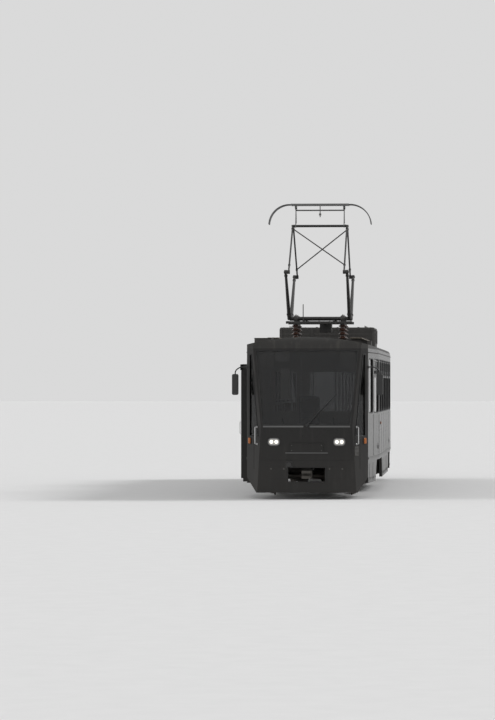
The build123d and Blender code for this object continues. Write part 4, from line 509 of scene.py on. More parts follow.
def is_rim(height):
    """Tests for a sharp edge at the given height."""
    def test(edge):
        level = all(abs(v.co.z - height) < 1e-5 for v in edge.verts)
        return level and len(edge.link_faces) == 2 and edge.calc_face_angle(0) > 0.5
    return test


def slab(width, height, thick, edge=0.002, steps=1):
    """A block with all its edges rounded."""
    bpy.ops.mesh.primitive_cube_add(size=1, location=(0, 0, thick / 2), scale=(width, height, thick))
    obj = alone(bpy.context.object)
    bpy.ops.object.transform_apply()
    with editing(obj):
        bpy.ops.mesh.bevel(offset=edge, segments=steps, affect="EDGES")
    return obj


def plate(width, height, thick, corner, border=0.0, edge=0.0015, steps=3, edge_steps=1):
    """A plate with rounded corners or, where a border is given, only its rim."""
    bpy.ops.mesh.primitive_plane_add(size=1)
    obj = alone(bpy.context.object)
    obj.scale = (width, height, 1)
    bpy.ops.object.transform_apply()
    with editing(obj, "VERT"):
        bpy.ops.mesh.bevel(offset=corner, segments=steps, affect="VERTICES")
        bpy.ops.mesh.select_mode(type="FACE")
        bpy.ops.mesh.select_all(action="SELECT")
        if border:
            bpy.ops.mesh.inset(thickness=border)
            bpy.ops.mesh.delete(type="FACE")
            bpy.ops.mesh.select_all(action="SELECT")
        bpy.ops.mesh.extrude_region_move(TRANSFORM_OT_translate={"value": (0, 0, thick)})
        bpy.ops.mesh.select_all(action="SELECT")
        bpy.ops.mesh.normals_make_consistent(inside=False)
        if edge:
            pick("EDGE", is_rim(thick))
            bpy.ops.mesh.bevel(offset=edge, segments=edge_steps, affect="EDGES")
    return obj


def turned(profile, steps=16):
    """A piece turned round Z from a profile of radius and height pairs."""
    bpy.ops.mesh.primitive_plane_add(size=0.01)
    obj = bpy.context.object
    with editing(obj, "VERT"):
        bpy.ops.mesh.merge(type="CENTER")
        radius, height = profile[0]
        bpy.ops.transform.translate(value=(radius, 0, height))
        for next_radius, next_height in profile[1:]:
            step = (next_radius - radius, 0, next_height - height)
            bpy.ops.mesh.extrude_region_move(TRANSFORM_OT_translate={"value": step})
            radius, height = next_radius, next_height
        bpy.ops.mesh.select_all(action="SELECT")
        bpy.ops.mesh.spin(steps=steps, angle=2 * math.pi, axis=(0, 0, 1), center=(0, 0, 0))
        bpy.ops.mesh.select_all(action="SELECT")
        bpy.ops.mesh.remove_doubles(threshold=0.00002)
        bpy.ops.mesh.dissolve_degenerate(threshold=0.00002)
        bpy.ops.mesh.select_all(action="SELECT")
        bpy.ops.mesh.normals_make_consistent(inside=False)
    return obj


def pipe(points, radius, sides=8, closed=False):
    """A tube along the given points with capped ends."""
    curve = bpy.data.curves.new("pipe", "CURVE")
    curve.dimensions = "3D"
    curve.bevel_depth = radius
    curve.bevel_resolution = max(0, sides // 2 - 2)
    curve.use_fill_caps = not closed
    line = curve.splines.new("POLY")
    line.points.add(len(points) - 1)
    for point, co in zip(line.points, points):
        point.co = (*co, 1)
    line.use_cyclic_u = closed
    obj = bpy.data.objects.new("pipe", curve)
    bpy.context.scene.collection.objects.link(obj)
    alone(obj)
    bpy.ops.object.convert(target="MESH")
    return bpy.context.object


def rounded_path(points, radius, steps=5):
    """The points of a path whose corners are rounded."""
    path = [Vector(points[0])]
    for before, corner, after in zip(points, points[1:], points[2:]):
        before, corner, after = Vector(before), Vector(corner), Vector(after)
        start = corner + (before - corner).normalized() * radius
        end = corner + (after - corner).normalized() * radius
        for k in range(steps + 1):
            t = k / steps
            path.append(start * (1 - t) ** 2 + corner * 2 * t * (1 - t) + end * t * t)
    return path + [Vector(points[-1])]


def coil(radius, wire, height, turns, per_turn=14):
    """A spring that stands on the XY plane, with a flat turn at each end."""
    count = int(turns * per_turn)
    points = []
    for k in range(count + 1):
        turn_now = k / per_turn
        rise = min(max((turn_now - 0.6) / (turns - 1.2), 0.0), 1.0)
        angle = 2 * math.pi * turn_now
        points.append((radius * math.cos(angle), radius * math.sin(angle), wire + rise * (height - 2 * wire)))
    return pipe(points, wire, 8)


def spread(template, spots):
    """Copies of a template at the given places, each with a mesh of its own."""
    copies = []
    for spot in spots:
        copy = template.copy()
        copy.data = template.data.copy()
        copy.matrix_world = spot
        bpy.context.scene.collection.objects.link(copy)
        copies.append(copy)
    bpy.data.objects.remove(template)
    return copies


def piece(name, finish, body, items, replaces=(), angle=35):
    """Joins the items into one named piece in its place, with its finish, and lets it ride on a body."""
    bpy.ops.object.select_all(action="DESELECT")
    for item in items:
        item.select_set(True)
    bpy.context.view_layer.objects.active = items[0]
    bpy.ops.object.transform_apply()
    if len(items) > 1:
        bpy.ops.object.join()
    obj = alone(bpy.context.object)
    obj.name = obj.data.name = name
    bpy.ops.object.shade_smooth_by_angle(angle=math.radians(angle))
    obj.data.materials.clear()
    obj.data.materials.append(FINISH[finish])
    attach(obj, body)
    if replaces:
        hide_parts(*replaces)
    return obj


def bolt(radius=0.009, height=0.007):
    """A hexagon head on its washer."""
    bpy.ops.mesh.primitive_cylinder_add(vertices=6, radius=radius, depth=height, location=(0, 0, height / 2))
    obj = bpy.context.object
    bpy.ops.object.transform_apply()
    with editing(obj, "FACE"):
        pick("FACE", lambda face: face.normal.z < -0.5)
        bpy.ops.mesh.extrude_region_move(TRANSFORM_OT_translate={"value": (0, 0, -0.002)})
        bpy.ops.transform.resize(value=(1.5, 1.5, 1))
        pick("EDGE", is_rim(height))
        bpy.ops.mesh.bevel(offset=radius * 0.18, segments=1, affect="EDGES")
    return obj


def rivet(radius=0.006):
    """A low round head."""
    return turned([(0, 0), (radius, 0), (radius * 0.8, radius * 0.4), (0, radius * 0.6)], 6)


def louvre(width, height, slats, depth=0.016):
    """A framed grille with slanted slats."""
    parts = [plate(width, height, depth, 0.012, border=0.014, edge=0.002)]
    pitch = (height - 0.03) / slats
    for k in range(slats):
        slat = slab(width - 0.024, pitch * 0.75, 0.003, 0.0008)
        slat.matrix_world = Matrix.Translation((0, -height / 2 + 0.015 + pitch * (k + 0.5), 0.005)) \
            @ Matrix.Rotation(math.radians(-32), 4, "X")
        parts.append(slat)
    return joined(parts)


def joined(parts):
    """Several templates as one."""
    bpy.ops.object.select_all(action="DESELECT")
    for part in parts:
        part.select_set(True)
    bpy.context.view_layer.objects.active = parts[0]
    bpy.ops.object.transform_apply()
    bpy.ops.object.join()
    return bpy.context.object


def glazing_beads(node, name, body, radius, lift, sides=8):
    """A rubber bead round each pane of a glass node, lifted outwards from the glass."""
    source = frame["nodes"][node]
    obj = bpy.data.objects.new(name, source.data.copy())
    bpy.context.scene.collection.objects.link(obj)
    with editing(obj, "FACE"):
        bpy.ops.mesh.remove_doubles(threshold=0.00005)
        bpy.ops.mesh.dissolve_limited(angle_limit=0.01)
        pick("FACE", lambda face: face.calc_area() < 0.04
             or face.normal.x * face.calc_center_median().x * 0.3 + face.normal.y * face.calc_center_median().y < 0)
        bpy.ops.mesh.delete(type="FACE")
        bpy.ops.mesh.select_all(action="SELECT")
        bpy.ops.transform.shrink_fatten(value=lift)
        bpy.ops.mesh.delete(type="ONLY_FACE")
    obj.data.materials.clear()
    alone(obj)
    bpy.ops.object.convert(target="CURVE")
    obj = bpy.context.object
    obj.data.bevel_depth = radius
    obj.data.bevel_resolution = max(0, sides // 2 - 2)
    bpy.ops.object.convert(target="MESH")
    return piece(name, "black_rubber", body, [bpy.context.object], angle=60)


def spaced(low, high, pitch):
    """Values from low, one pitch apart, as far as high."""
    return [low + pitch * k for k in range(int((high - low) / pitch + 1.001))]


def shifted(obj, right, up):
    """The template, moved in its own plane."""
    obj.matrix_world = Matrix.Translation((right, up, 0)) @ obj.matrix_world
    return obj


def lifted(obj, height):
    """The template, raised along Z."""
    obj.matrix_world = Matrix.Translation((0, 0, height)) @ obj.matrix_world
    return obj


def cushion(width, height, thick, corner, channels):
    """A sewn pad on the XY plane: it swells with air, rests on its flat back and is drawn in along its seams."""
    obj = plate(width, height, thick, corner, edge=0.018, steps=5, edge_steps=3)
    remesh = obj.modifiers.new("even", "REMESH")
    remesh.mode = "VOXEL"
    remesh.voxel_size = 0.006
    alone(obj)
    bpy.ops.object.modifier_apply(modifier="even")
    rest = obj.vertex_groups.new(name="rest")
    rest.add([v.index for v in obj.data.vertices if v.co.z < 0.003], 1.0, "REPLACE")
    before = [v.co.copy() for v in obj.data.vertices]
    cloth = obj.modifiers.new("swell", "CLOTH")
    cloth.settings.use_pressure = True
    cloth.settings.uniform_pressure_force = 4.0
    cloth.settings.effector_weights.gravity = 0.0
    cloth.settings.vertex_group_mass = "rest"
    for number in range(1, 21):
        bpy.context.scene.frame_set(number)
    alone(obj)
    bpy.ops.object.modifier_apply(modifier="swell")
    for vertex, start in zip(obj.data.vertices, before):
        move = vertex.co - start
        if move.length > SWELL_LIMIT:
            vertex.co = start + move.normalized() * SWELL_LIMIT
    bpy.context.scene.frame_set(1)
    obj.vertex_groups.clear()
    with editing(obj, "VERT"):
        for line in channels:
            pick("VERT", lambda vert: abs(vert.co.y - line) < 0.004 and vert.co.z > thick * 0.5)
            bpy.ops.transform.translate(value=(0, 0, -0.007), use_proportional_edit=True,
                                        proportional_size=0.022, proportional_edit_falloff="SHARP")
    return obj


# Rows that several pieces use, in metres.

DOORS = (("front", 5.17, 6.03, 1), ("middle_front", 0.004, 0.73, -1),
         ("middle_rear", -0.73, -0.004, 1), ("rear", -6.03, -5.17, -1))
LEAF_OUT, LEAF_FOOT, LEAF_HEAD = -1.325, 0.36, 2.455
LEFT_WIDE = (-5.075, -3.625, -2.175, -0.725, 0.725, 2.175, 3.625, 5.075)
RIGHT_WIDE = (-3.625, -2.175, 2.175, 3.625)
LEFT_SEAMS = (-5.8, -4.35, -2.9, -1.45, 0, 1.45, 2.9, 4.35, 5.8)
RIGHT_SEAMS = (-4.35, -2.9, -1.45, 1.45, 2.9, 4.35)
BOX_PLACES = (-3.35, -2.59, -1.83)
BOARD_FROM, BOARD_TO, BOARD_TOP = -0.9, 4.2, 3.087
PANTO_X, SHAFT_Z, KNEE_Z = 1.75, 3.5, 4.4
BOGIE_PLACES = (("front", 3.75), ("rear", -3.75))
AXLES = ((1, 4.72), (2, 2.78), (3, -2.78), (4, -4.72))
AXLE_Z = 0.378
UNDER_BOXES = ((-2.05, -1.15, 1, 0.34), (-1.05, 0.15, 1, 0.38), (0.25, 2.05, 1, 0.34),
               (-2.05, -0.8, -1, 0.36), (0.8, 2.05, -1, 0.34))
SEAT_TABLE = ((1, (-5.6, -4.77, -3.94, -3.11, -2.28, -1.45, -0.62, 0.21, 1.04, 1.87, 2.7, 3.53, 4.36)),
              (-1, (-4.3, -3.47, -2.64, -1.81, 1.5, 2.33, 3.16, 3.99)))


# Windows

def make_windows():
    """Rubber round every pane, and sliding vents in the wide side windows."""
    glazing_beads("side_glass", "side_window_rubbers", "carbody", 0.011, 0.016)
    glazing_beads("end_glass", "end_window_rubbers", "carbody", 0.015, 0.0114)
    for name, _, _, _ in DOORS:
        glazing_beads("door_glass_" + name, "door_rubbers_" + name, "door_" + name, 0.009, 0.012)
    spots = [on_side(1, x, 0) for x in LEFT_WIDE] + [on_side(-1, x, 0) for x in RIGHT_WIDE]
    bars, frames, grips = [], [], []
    for spot in spots:
        bars.append(out_by(spot, -0.022, up=2.31))
        for side, depth in ((-1, -0.0215), (1, -0.0185)):
            frames.append(out_by(spot, depth, right=0.283 * side, up=2.475))
            grips.append(out_by(spot, depth + 0.006, right=0.06 * side, up=2.40))
    piece("vent_frames", "trim_metal", "carbody",
          spread(slab(1.17, 0.030, 0.014, 0.003), bars)
          + spread(plate(0.566, 0.300, 0.008, 0.03, border=0.020, edge=0.002), frames)
          + spread(slab(0.012, 0.060, 0.012, 0.003), grips))


# Body sides and roof

def make_side_panels():
    """Cover strips with rivets over the sheet joints, skirt flaps with latches, and rain gutters."""
    strips, rivets, flaps, latches = [], [], [], []
    for side, seams in ((1, LEFT_SEAMS), (-1, RIGHT_SEAMS)):
        for x in seams:
            strips.append(out_by(on_side(side, x, 1.195), -0.0004))
            rivets += [out_by(on_side(side, x, z), 0.0025, right=0.011 * edge)
                       for z in spaced(0.83, 1.56, 0.073) for edge in (-1, 1)]
    for side, places in ((1, (-6.45, -5.62, -1.65, -0.55, 0.55, 1.65, 5.62, 6.45)), (-1, (-1.72, 1.72))):
        for x in places:
            half = 0.34 if abs(x) > 5 else 0.46
            flap = plate(2 * half, 0.33, 0.004, 0.03, edge=0.0012)
            flaps += spread(flap, [out_by(on_side(side, x, 0.5), -0.0006)])
            latches += [out_by(on_side(side, x, 0.385), 0.003, right=half * 0.62 * edge) for edge in (-1, 1)]
    piece("side_seams", "body_paint", "carbody",
          spread(slab(0.042, 0.79, 0.003, 0.001), strips) + spread(rivet(0.0055), rivets) + flaps)
    latch = joined([turned([(0, 0), (0.026, 0), (0.026, 0.003), (0.022, 0.006), (0, 0.006)], 14),
                    lifted(slab(0.034, 0.007, 0.006, 0.002), 0.005)])
    piece("skirt_latches", "trim_metal", "carbody", spread(latch, latches))
    gutters = []
    for side in (1, -1):
        line = [(x, side * (wall_y(x) + 0.003), 2.765) for x in (-7.03, -TAPER_X, TAPER_X, 7.03)]
        gutters.append(pipe(line, 0.009, 8))
    for x in spaced(-5.8, 5.8, 1.45):
        gutters.append(pipe([(x, y, roof_z(y) + 0.001) for y in spaced(-1.15, 1.15, 0.115)], 0.006, 6))
    for side in (1, -1):
        gutters.append(pipe([(-6.9, side * 0.62, roof_z(0.62)), (6.9, side * 0.62, roof_z(0.62))], 0.005, 6))
    piece("roof_seams", "roof_paint", "carbody", gutters)


def make_side_lamps():
    """Orange side markers, with a filler cap and a lock on the left side."""
    spots = [out_by(on_side(side, x, 1.40), -0.0005) for side in (1, -1) for x in (3.5, -6.9)]
    spots = spots[:2] + spots[3:]
    base = plate(0.130, 0.070, 0.008, 0.02, edge=0.003)
    piece("side_marker_bases", "black_rubber", "carbody", spread(base, spots))
    lens = plate(0.110, 0.050, 0.014, 0.016, edge=0.006, edge_steps=3)
    piece("side_marker_lenses", "amber_lens", "carbody", spread(lens, [out_by(s, 0.006) for s in spots]))
    cap = joined([turned([(0, 0), (0.065, 0), (0.065, 0.004), (0.050, 0.008), (0.046, 0.014), (0, 0.016)], 20),
                  lifted(slab(0.060, 0.010, 0.008, 0.002), 0.013)])
    piece("side_caps", "trim_metal", "carbody",
          spread(cap, [out_by(on_side(1, x, 0.96), -0.0005) for x in (4.67, -2.9)]))


def make_roof_boxes():
    """Lids with bolts and lifting eyes, and louvres round the resistor boxes."""
    lids, ribs, bolts, eyes, sides, wides = [], [], [], [], [], []
    for x in BOX_PLACES:
        lids.append(on_top(x, 0, 3.3696))
        ribs += [on_top(x, y, 3.374) for y in (-0.66, -0.22, 0.22, 0.66)]
        bolts += [on_top(x + dx, y, 3.3755) for dx in (-0.30, 0.30) for y in spaced(-0.92, 0.92, 0.23)]
        eyes += [place((x + dx, dy, 3.372), (1, 0, 0), (0, 0, 1)) for dx in (-0.2, 0.2) for dy in (-0.8, 0.8)]
        sides += [place((x, side * 0.997, 3.189), (-side, 0, 0), (0, 0, 1)) for side in (1, -1)]
    for end, x in ((1, -1.48), (-1, -3.70)):
        wides += [place((x - end * 0.003, y, 3.219), (0, end, 0), (0, 0, 1)) for y in (-0.667, 0, 0.667)]
    eye = pipe([(0.022 * math.cos(a), 0.020 + 0.022 * math.sin(a), 0) for a in spaced(0, 6.1, math.pi / 8)],
               0.005, 6, closed=True)
    piece("resistor_lids", "roof_gear_paint", "carbody",
          spread(plate(0.66, 1.96, 0.006, 0.03, edge=0.002), lids) + spread(slab(0.56, 0.03, 0.012, 0.004), ribs)
          + spread(bolt(0.008, 0.006), bolts) + spread(eye, eyes))
    piece("resistor_louvres", "roof_gear_paint", "carbody",
          spread(louvre(0.60, 0.30, 9), sides) + spread(louvre(0.60, 0.24, 7), wides))
    small = []
    for x0, x1, y0, y1, top in ((4.0, 4.35, 1.04, 1.12, 3.01), (4.4, 5.1, -1.13, -0.8, 3.06),
                                (-5.6, -4.6, -0.5, 0.5, 3.18)):
        lid = plate(x1 - x0 + 0.02, y1 - y0 + 0.02, 0.008, 0.012, edge=0.003)
        small += spread(lid, [on_top((x0 + x1) / 2, (y0 + y1) / 2, top - 0.001)])
    for side in (1, -1):
        grille = louvre(0.36, 0.10, 4)
        small += spread(grille, [place((-5.1 + 0.24 * k, side * 0.5, 3.12), (-side, 0, 0), (0, 0, 1))
                                 for k in (-1, 1)])
    piece("roof_box_lids", "roof_gear_paint", "carbody", small)


def make_boards():
    """Three planks a side on steel feet, in place of the plain walking boards."""
    planks, feet, screws = [], [], []
    middle = (BOARD_FROM + BOARD_TO) / 2
    for side in (1, -1):
        for k in (-1, 0, 1):
            y = side * 0.815 + 0.0793 * k
            planks.append(on_top(middle, y, BOARD_TOP - 0.022))
            screws += [on_top(x, y, BOARD_TOP - 0.001) for x in spaced(-0.8, 4.1, 0.7)]
        for x in spaced(-0.8, 4.1, 0.7):
            feet.append(on_top(x, side * 0.815, 2.990))
    foot = joined([slab(0.045, 0.21, 0.006, 0.001), lifted(slab(0.045, 0.225, 0.006, 0.001), 0.069),
                   lifted(slab(0.006, 0.19, 0.07, 0.001), 0.003)])
    piece("walking_planks", "board_wood", "carbody",
          spread(slab(BOARD_TO - BOARD_FROM, 0.0713, 0.022, 0.003), planks), replaces=["walking_boards"])
    piece("plank_feet", "roof_gear_paint", "carbody", spread(foot, feet) + spread(rivet(0.007), screws))


# Current collector

def make_collector():
    """Insulator caps, springs, clamps and bolts of the folding current collector."""
    posts = [(PANTO_X + dx, dy) for dx in (-0.4, 0.4) for dy in (-0.475, 0.475)]
    cap = turned([(0.040, 0), (0.056, 0), (0.056, 0.022), (0.047, 0.030), (0.040, 0.030), (0.040, 0)], 18)
    foot = turned([(0.046, 0), (0.085, 0), (0.085, 0.010), (0.058, 0.016), (0.055, 0.034), (0.046, 0.034),
                   (0.046, 0)], 18)
    piece("insulator_caps", "roof_gear_paint", "carbody",
          spread(cap, [on_top(x, y, 3.364) for x, y in posts])
          + spread(foot, [on_top(x, y, roof_z(y) + 0.002) for x, y in posts]))
    springs = []
    for y in (-0.30, 0.30):
        lie = place((PANTO_X - 0.26, y, 3.472), (0, 0, -1), (0, 1, 0))
        springs += spread(coil(0.032, 0.007, 0.52, 17, 10), [lie])
        for end in (-1, 1):
            line = [(PANTO_X + end * 0.255, y, 3.472), (PANTO_X + end * 0.44, y, 3.472)]
            springs.append(pipe(line, 0.008, 8))
    piece("raising_springs", "spring_steel", "carbody", springs)
    bolts = []
    for dx in (-0.48, 0.48):
        bolts += [on_top(PANTO_X + dx, y, 3.4415) for y in spaced(-0.63, 0.63, 0.21)]
    piece("collector_base_bolts", "roof_gear_paint", "carbody", spread(bolt(0.008, 0.007), bolts))
    housing = turned([(0.041, -0.045), (0.050, -0.045), (0.060, -0.032), (0.063, -0.012), (0.063, 0.012),
                      (0.060, 0.032), (0.050, 0.045), (0.041, 0.045), (0.041, -0.045)], 20)
    nipple = turned([(0, 0), (0.012, 0), (0.012, 0.012), (0.006, 0.016), (0.006, 0.024), (0, 0.026)], 8)
    shafts = [(PANTO_X + dx, y) for dx in (-0.35, 0.35) for y in (-0.475, 0.475)]
    piece("shaft_bearings", "roof_gear_paint", "carbody",
          spread(housing, [place((x, y, SHAFT_Z), (1, 0, 0), (0, 0, 1)) for x, y in shafts])
          + spread(nipple, [on_top(x, y, SHAFT_Z + 0.061) for x, y in shafts]))
    for sign, name in ((1, "front"), (-1, "rear")):
        make_arm_details(sign, name)
    make_head_details()


def make_arm_details(sign, name):
    """Collars, gussets and knee nuts on one lower arm pair, and clamps on its upper pair."""
    shaft = Vector((PANTO_X + sign * 0.35, 0, SHAFT_Z))
    knee = Vector((PANTO_X + sign * 1.70, 0, KNEE_Z))
    top = Vector((PANTO_X + sign * 0.12, 0, 5.39))
    parts, along = [], (knee - shaft).normalized()
    for side in (1, -1):
        shift = Vector((0, side * 0.612, 0))
        for share, radius in ((0.10, 0.041), (0.93, 0.028)):
            spot = place(shaft + (knee - shaft) * share + shift, (0, 1, 0), along.cross(Vector((0, 1, 0))) * -1)
            collar = turned([(radius - 0.004, 0), (radius + 0.006, 0), (radius + 0.006, 0.028),
                             (radius - 0.004, 0.028), (radius - 0.004, 0)], 16)
            parts += spread(collar, [spot])
        nut = bolt(0.016, 0.011)
        parts += spread(nut, [place((knee.x, side * 0.6395, knee.z), (-side, 0, 0), (0, 0, 1))])
    crank = slab(0.10, 0.05, 0.012, 0.003)
    parts += spread(crank, [place((shaft.x - sign * 0.02, y, shaft.z - 0.035), (1, 0, 0), (0, 0, 1))
                            for y in (-0.33, 0.29)])
    piece("lower_arm_fittings_" + name, "pantograph_steel", "pantograph_lower_" + name, parts)
    parts, along = [], (top - knee).normalized()
    for side in (1, -1):
        for share in (0.15, 0.94):
            spot = place(knee + (top - knee) * share + Vector((0, side * 0.552, 0)), (0, 1, 0),
                         along.cross(Vector((0, 1, 0))) * -1)
            clamp = turned([(0.014, -0.02), (0.024, -0.02), (0.024, 0.02), (0.014, 0.02), (0.014, -0.02)], 12)
            parts += spread(clamp, [spot])
        collar = turned([(0.018, 0), (0.027, 0), (0.027, 0.016), (0.018, 0.016), (0.018, 0)], 14)
        parts += spread(collar, [place((top.x, side * 0.515, top.z), (-side, 0, 0), (0, 0, 1))])
    piece("upper_arm_fittings_" + name, "pantograph_steel", "pantograph_upper_" + name, parts)


def make_head_details():
    """Metal edges and screws that hold the carbon, and springs under the skids."""
    edges, screws, springs = [], [], []
    for x in (PANTO_X - 0.14, PANTO_X + 0.14):
        for side in (1, -1):
            edges.append(place((x + side * 0.0215, 0, 5.826), (0, -side, 0), (0, 0, 1)))
            screws += [place((x + side * 0.0235, y, 5.824), (0, -side, 0), (0, 0, 1))
                       for y in spaced(-0.5, 0.5, 0.2)]
    for y in (-0.492, 0.492):
        springs.append(on_top(PANTO_X, y, 5.735))
    piece("skid_edges", "trim_metal", "pantograph_head",
          spread(slab(1.16, 0.014, 0.002, 0.0006), edges) + spread(bolt(0.005, 0.003), screws))
    piece("skid_springs", "spring_steel", "pantograph_head", spread(coil(0.024, 0.004, 0.070, 5, 10), springs))


# Car ends

def make_lamps():
    """Headlamps with bezel and ribbed lens, tail lamps, and orange lamps on the corners."""
    front = [out_by(on_end(y, 1.082), 0.0005) for y in (-0.615, 0.615)]
    bezel = plate(0.232, 0.152, 0.016, 0.070, border=0.018, edge=0.005, steps=8, edge_steps=2)
    piece("headlamp_bezels", "trim_metal", "carbody", spread(bezel, front))
    lens = plate(0.200, 0.120, 0.014, 0.056, edge=0.006, steps=8, edge_steps=3)
    piece("headlamp_lenses", "lamp_glass", "carbody", spread(lens, front), replaces=["headlamps"])
    rear = [out_by(on_end(y, 1.082, -1), 0.0004) for y in (-0.615, 0.615)]
    bezel = plate(0.146, 0.226, 0.014, 0.040, border=0.014, edge=0.004, edge_steps=2)
    piece("tail_lamp_bezels", "trim_metal", "carbody", spread(bezel, rear))
    lens = joined([plate(0.122, 0.202, 0.010, 0.030, edge=0.004, edge_steps=2)]
                  + [shifted(lifted(slab(0.100, 0.008, 0.004, 0.001), 0.009), 0, y)
                     for y in spaced(-0.075, 0.075, 0.025)])
    piece("tail_lamp_lenses", "red_lens", "carbody", spread(lens, rear), replaces=["tail_lamps"])
    corners = [on_corner(side, 0.78, 1.10, end) for end in (1, -1) for side in (1, -1)]
    piece("corner_lamp_bases", "black_rubber", "carbody",
          spread(plate(0.088, 0.132, 0.010, 0.020, edge=0.003), [out_by(s, -0.001) for s in corners]))
    piece("corner_lamp_lenses", "amber_lens", "carbody",
          spread(plate(0.066, 0.110, 0.018, 0.016, edge=0.007, edge_steps=3), [out_by(s, 0.007) for s in corners]))


def make_front_fittings():
    """Seams, service flaps, louvre, socket, grab handles and blank plates on both ends."""
    seams, flaps, latches = [], [], []
    for end in (1, -1):
        seams.append(out_by(on_end(0, 0.735, end), -0.0004))
        seams += [turn(out_by(on_end(y, 1.03, end), -0.0004), 90) for y in (-0.845, 0.845)]
        seams += [turn(out_by(on_corner(side, 0.5, 0.85, end), -0.0004), 90) for side in (1, -1)]
        for y in (-0.55, 0.55):
            flaps.append(out_by(on_end(y, 0.50, end), -0.0005))
            latches += [out_by(on_end(y, 0.50, end), 0.0035, right=0.12 * k, up=0.075) for k in (-1, 1)]
    wide = slab(1.66, 0.012, 0.004, 0.001)
    tall = slab(0.56, 0.010, 0.004, 0.001)
    piece("end_seams", "body_paint", "carbody",
          spread(wide, [s for k, s in enumerate(seams) if k % 5 == 0])
          + spread(tall, [s for k, s in enumerate(seams) if k % 5])
          + spread(plate(0.36, 0.22, 0.004, 0.025, edge=0.0012), flaps))
    latch = turned([(0, 0), (0.018, 0), (0.018, 0.002), (0.014, 0.005), (0, 0.005)], 14)
    piece("end_latches", "roof_gear_paint", "carbody", spread(latch, latches))
    piece("heater_grille", "roof_gear_paint", "carbody",
          spread(louvre(0.12, 0.18, 6, 0.010), [on_corner(1, 0.27, 0.91)]), angle=25)
    socket = joined([plate(0.13, 0.13, 0.006, 0.02, edge=0.002),
                     lifted(turned([(0, 0), (0.050, 0), (0.050, 0.030), (0.044, 0.038), (0, 0.038)], 20), 0.005),
                     shifted(lifted(slab(0.10, 0.014, 0.030, 0.003), 0.004), 0, 0.058)])
    piece("end_sockets", "black_plastic", "carbody",
          spread(socket, [on_end(-0.33, 0.66, end) for end in (1, -1)]))
    grips = []
    for end in (1, -1):
        for y in (-0.97, 0.97):
            side = 1 if y > 0 else -1
            spot = on_corner(side, 0.28, 1.20, end)
            line = rounded_path([(0, -0.16, 0), (0, -0.16, 0.045), (0, 0.16, 0.045), (0, 0.16, 0)], 0.022)
            grips += spread(pipe(line, 0.009, 8), [spot])
            grips += spread(turned([(0, 0), (0.020, 0), (0.018, 0.005), (0, 0.005)], 12),
                            [out_by(spot, 0, up=k * 0.16) for k in (-1, 1)])
    piece("corner_grips", "rail_steel", "carbody", grips)
    mouths = []
    for end in (1, -1):
        line = [(0.356, 0.0, 0), (0.356, 0.138, 0), (-0.356, 0.138, 0), (-0.356, -0.138, 0), (0.356, -0.138, 0)]
        mouths += spread(pipe(line, 0.012, 8, closed=True), [out_by(on_end(0, 0.465, end), -0.003)])
    piece("mouth_edging", "black_rubber", "carbody", mouths)
    screws = []
    for end in (1, -1):
        screws += [out_by(on_end(y, z, end), 0.0168) for y in (-0.28, 0.28) for z in (0.92, 1.02)]
    piece("plate_screws", "trim_metal", "carbody", spread(rivet(0.009), screws))
    numbers = [on_end(0, 0.97, end) for end in (1, -1)]
    piece("number_plates", "body_paint", "carbody",
          spread(joined([plate(0.636, 0.174, 0.017, 0.012, edge=0.001),
                         lifted(plate(0.636, 0.174, 0.003, 0.012, border=0.010, edge=0.001), 0.016)]), numbers))
    plates = [out_by(on_end(-0.47, 2.695), -0.042), out_by(on_end(0.47, 2.695, -1), -0.042)]
    piece("route_plates", "blank_plate", "carbody", spread(plate(0.26, 0.19, 0.006, 0.012, edge=0.001), plates))
    strip = plate(0.17, 0.58, 0.003, 0.01, edge=0.0006)
    piece("window_notice", "blank_plate", "carbody", spread(strip, [out_by(on_end(-0.41, 2.18), -0.038)]))
    visors = [out_by(on_end(y, 2.63), -0.075) for y in (-0.76, 0.76)]
    piece("sun_visors", "lining", "carbody", spread(slab(0.28, 0.32, 0.014, 0.006, 2), visors))


def make_wiper():
    """Spindle, tapered arm, carrier and rubber of the wiper, in place of its plain bars."""
    foot, tip = on_end(0, 1.386), on_end(0.545, 1.96)
    rise = (tip.translation - foot.translation)
    angle = math.degrees(math.atan2(rise.dot(foot.to_3x3().col[1]), rise.dot(foot.to_3x3().col[0])))
    length = rise.length
    along = turn(on_end(0, 1.386), angle)
    spindle = turned([(0, 0), (0.020, 0), (0.020, 0.012), (0.013, 0.018), (0.013, 0.028), (0, 0.030)], 16)
    arm = slab(length * 0.94, 0.022, 0.007, 0.002)
    with editing(arm, "VERT"):
        pick("VERT", lambda vert: vert.co.x > 0)
        bpy.ops.transform.resize(value=(1, 0.5, 0.8), center_override=(length * 0.47, 0, 0))
    arms = spread(arm, [out_by(along, 0.016, right=length * 0.47)])
    hook = spread(slab(0.05, 0.016, 0.020, 0.003), [out_by(along, -0.004, right=length * 0.955)])
    piece("wiper_arm", "black_plastic", "carbody", spread(spindle, [along]) + arms + hook, replaces=["wiper"])
    blade = spread(slab(length * 0.60, 0.010, 0.006, 0.002), [out_by(along, -0.008, right=length * 0.735)])
    claws = spread(slab(0.018, 0.014, 0.012, 0.002),
                   [out_by(along, -0.009, right=length * share) for share in (0.50, 0.66, 0.82, 0.98)])
    rubber = spread(slab(length * 0.62, 0.004, 0.012, 0.001), [out_by(along, -0.0195, right=length * 0.735)])
    piece("wiper_blade", "black_rubber", "carbody", blade + claws + rubber)


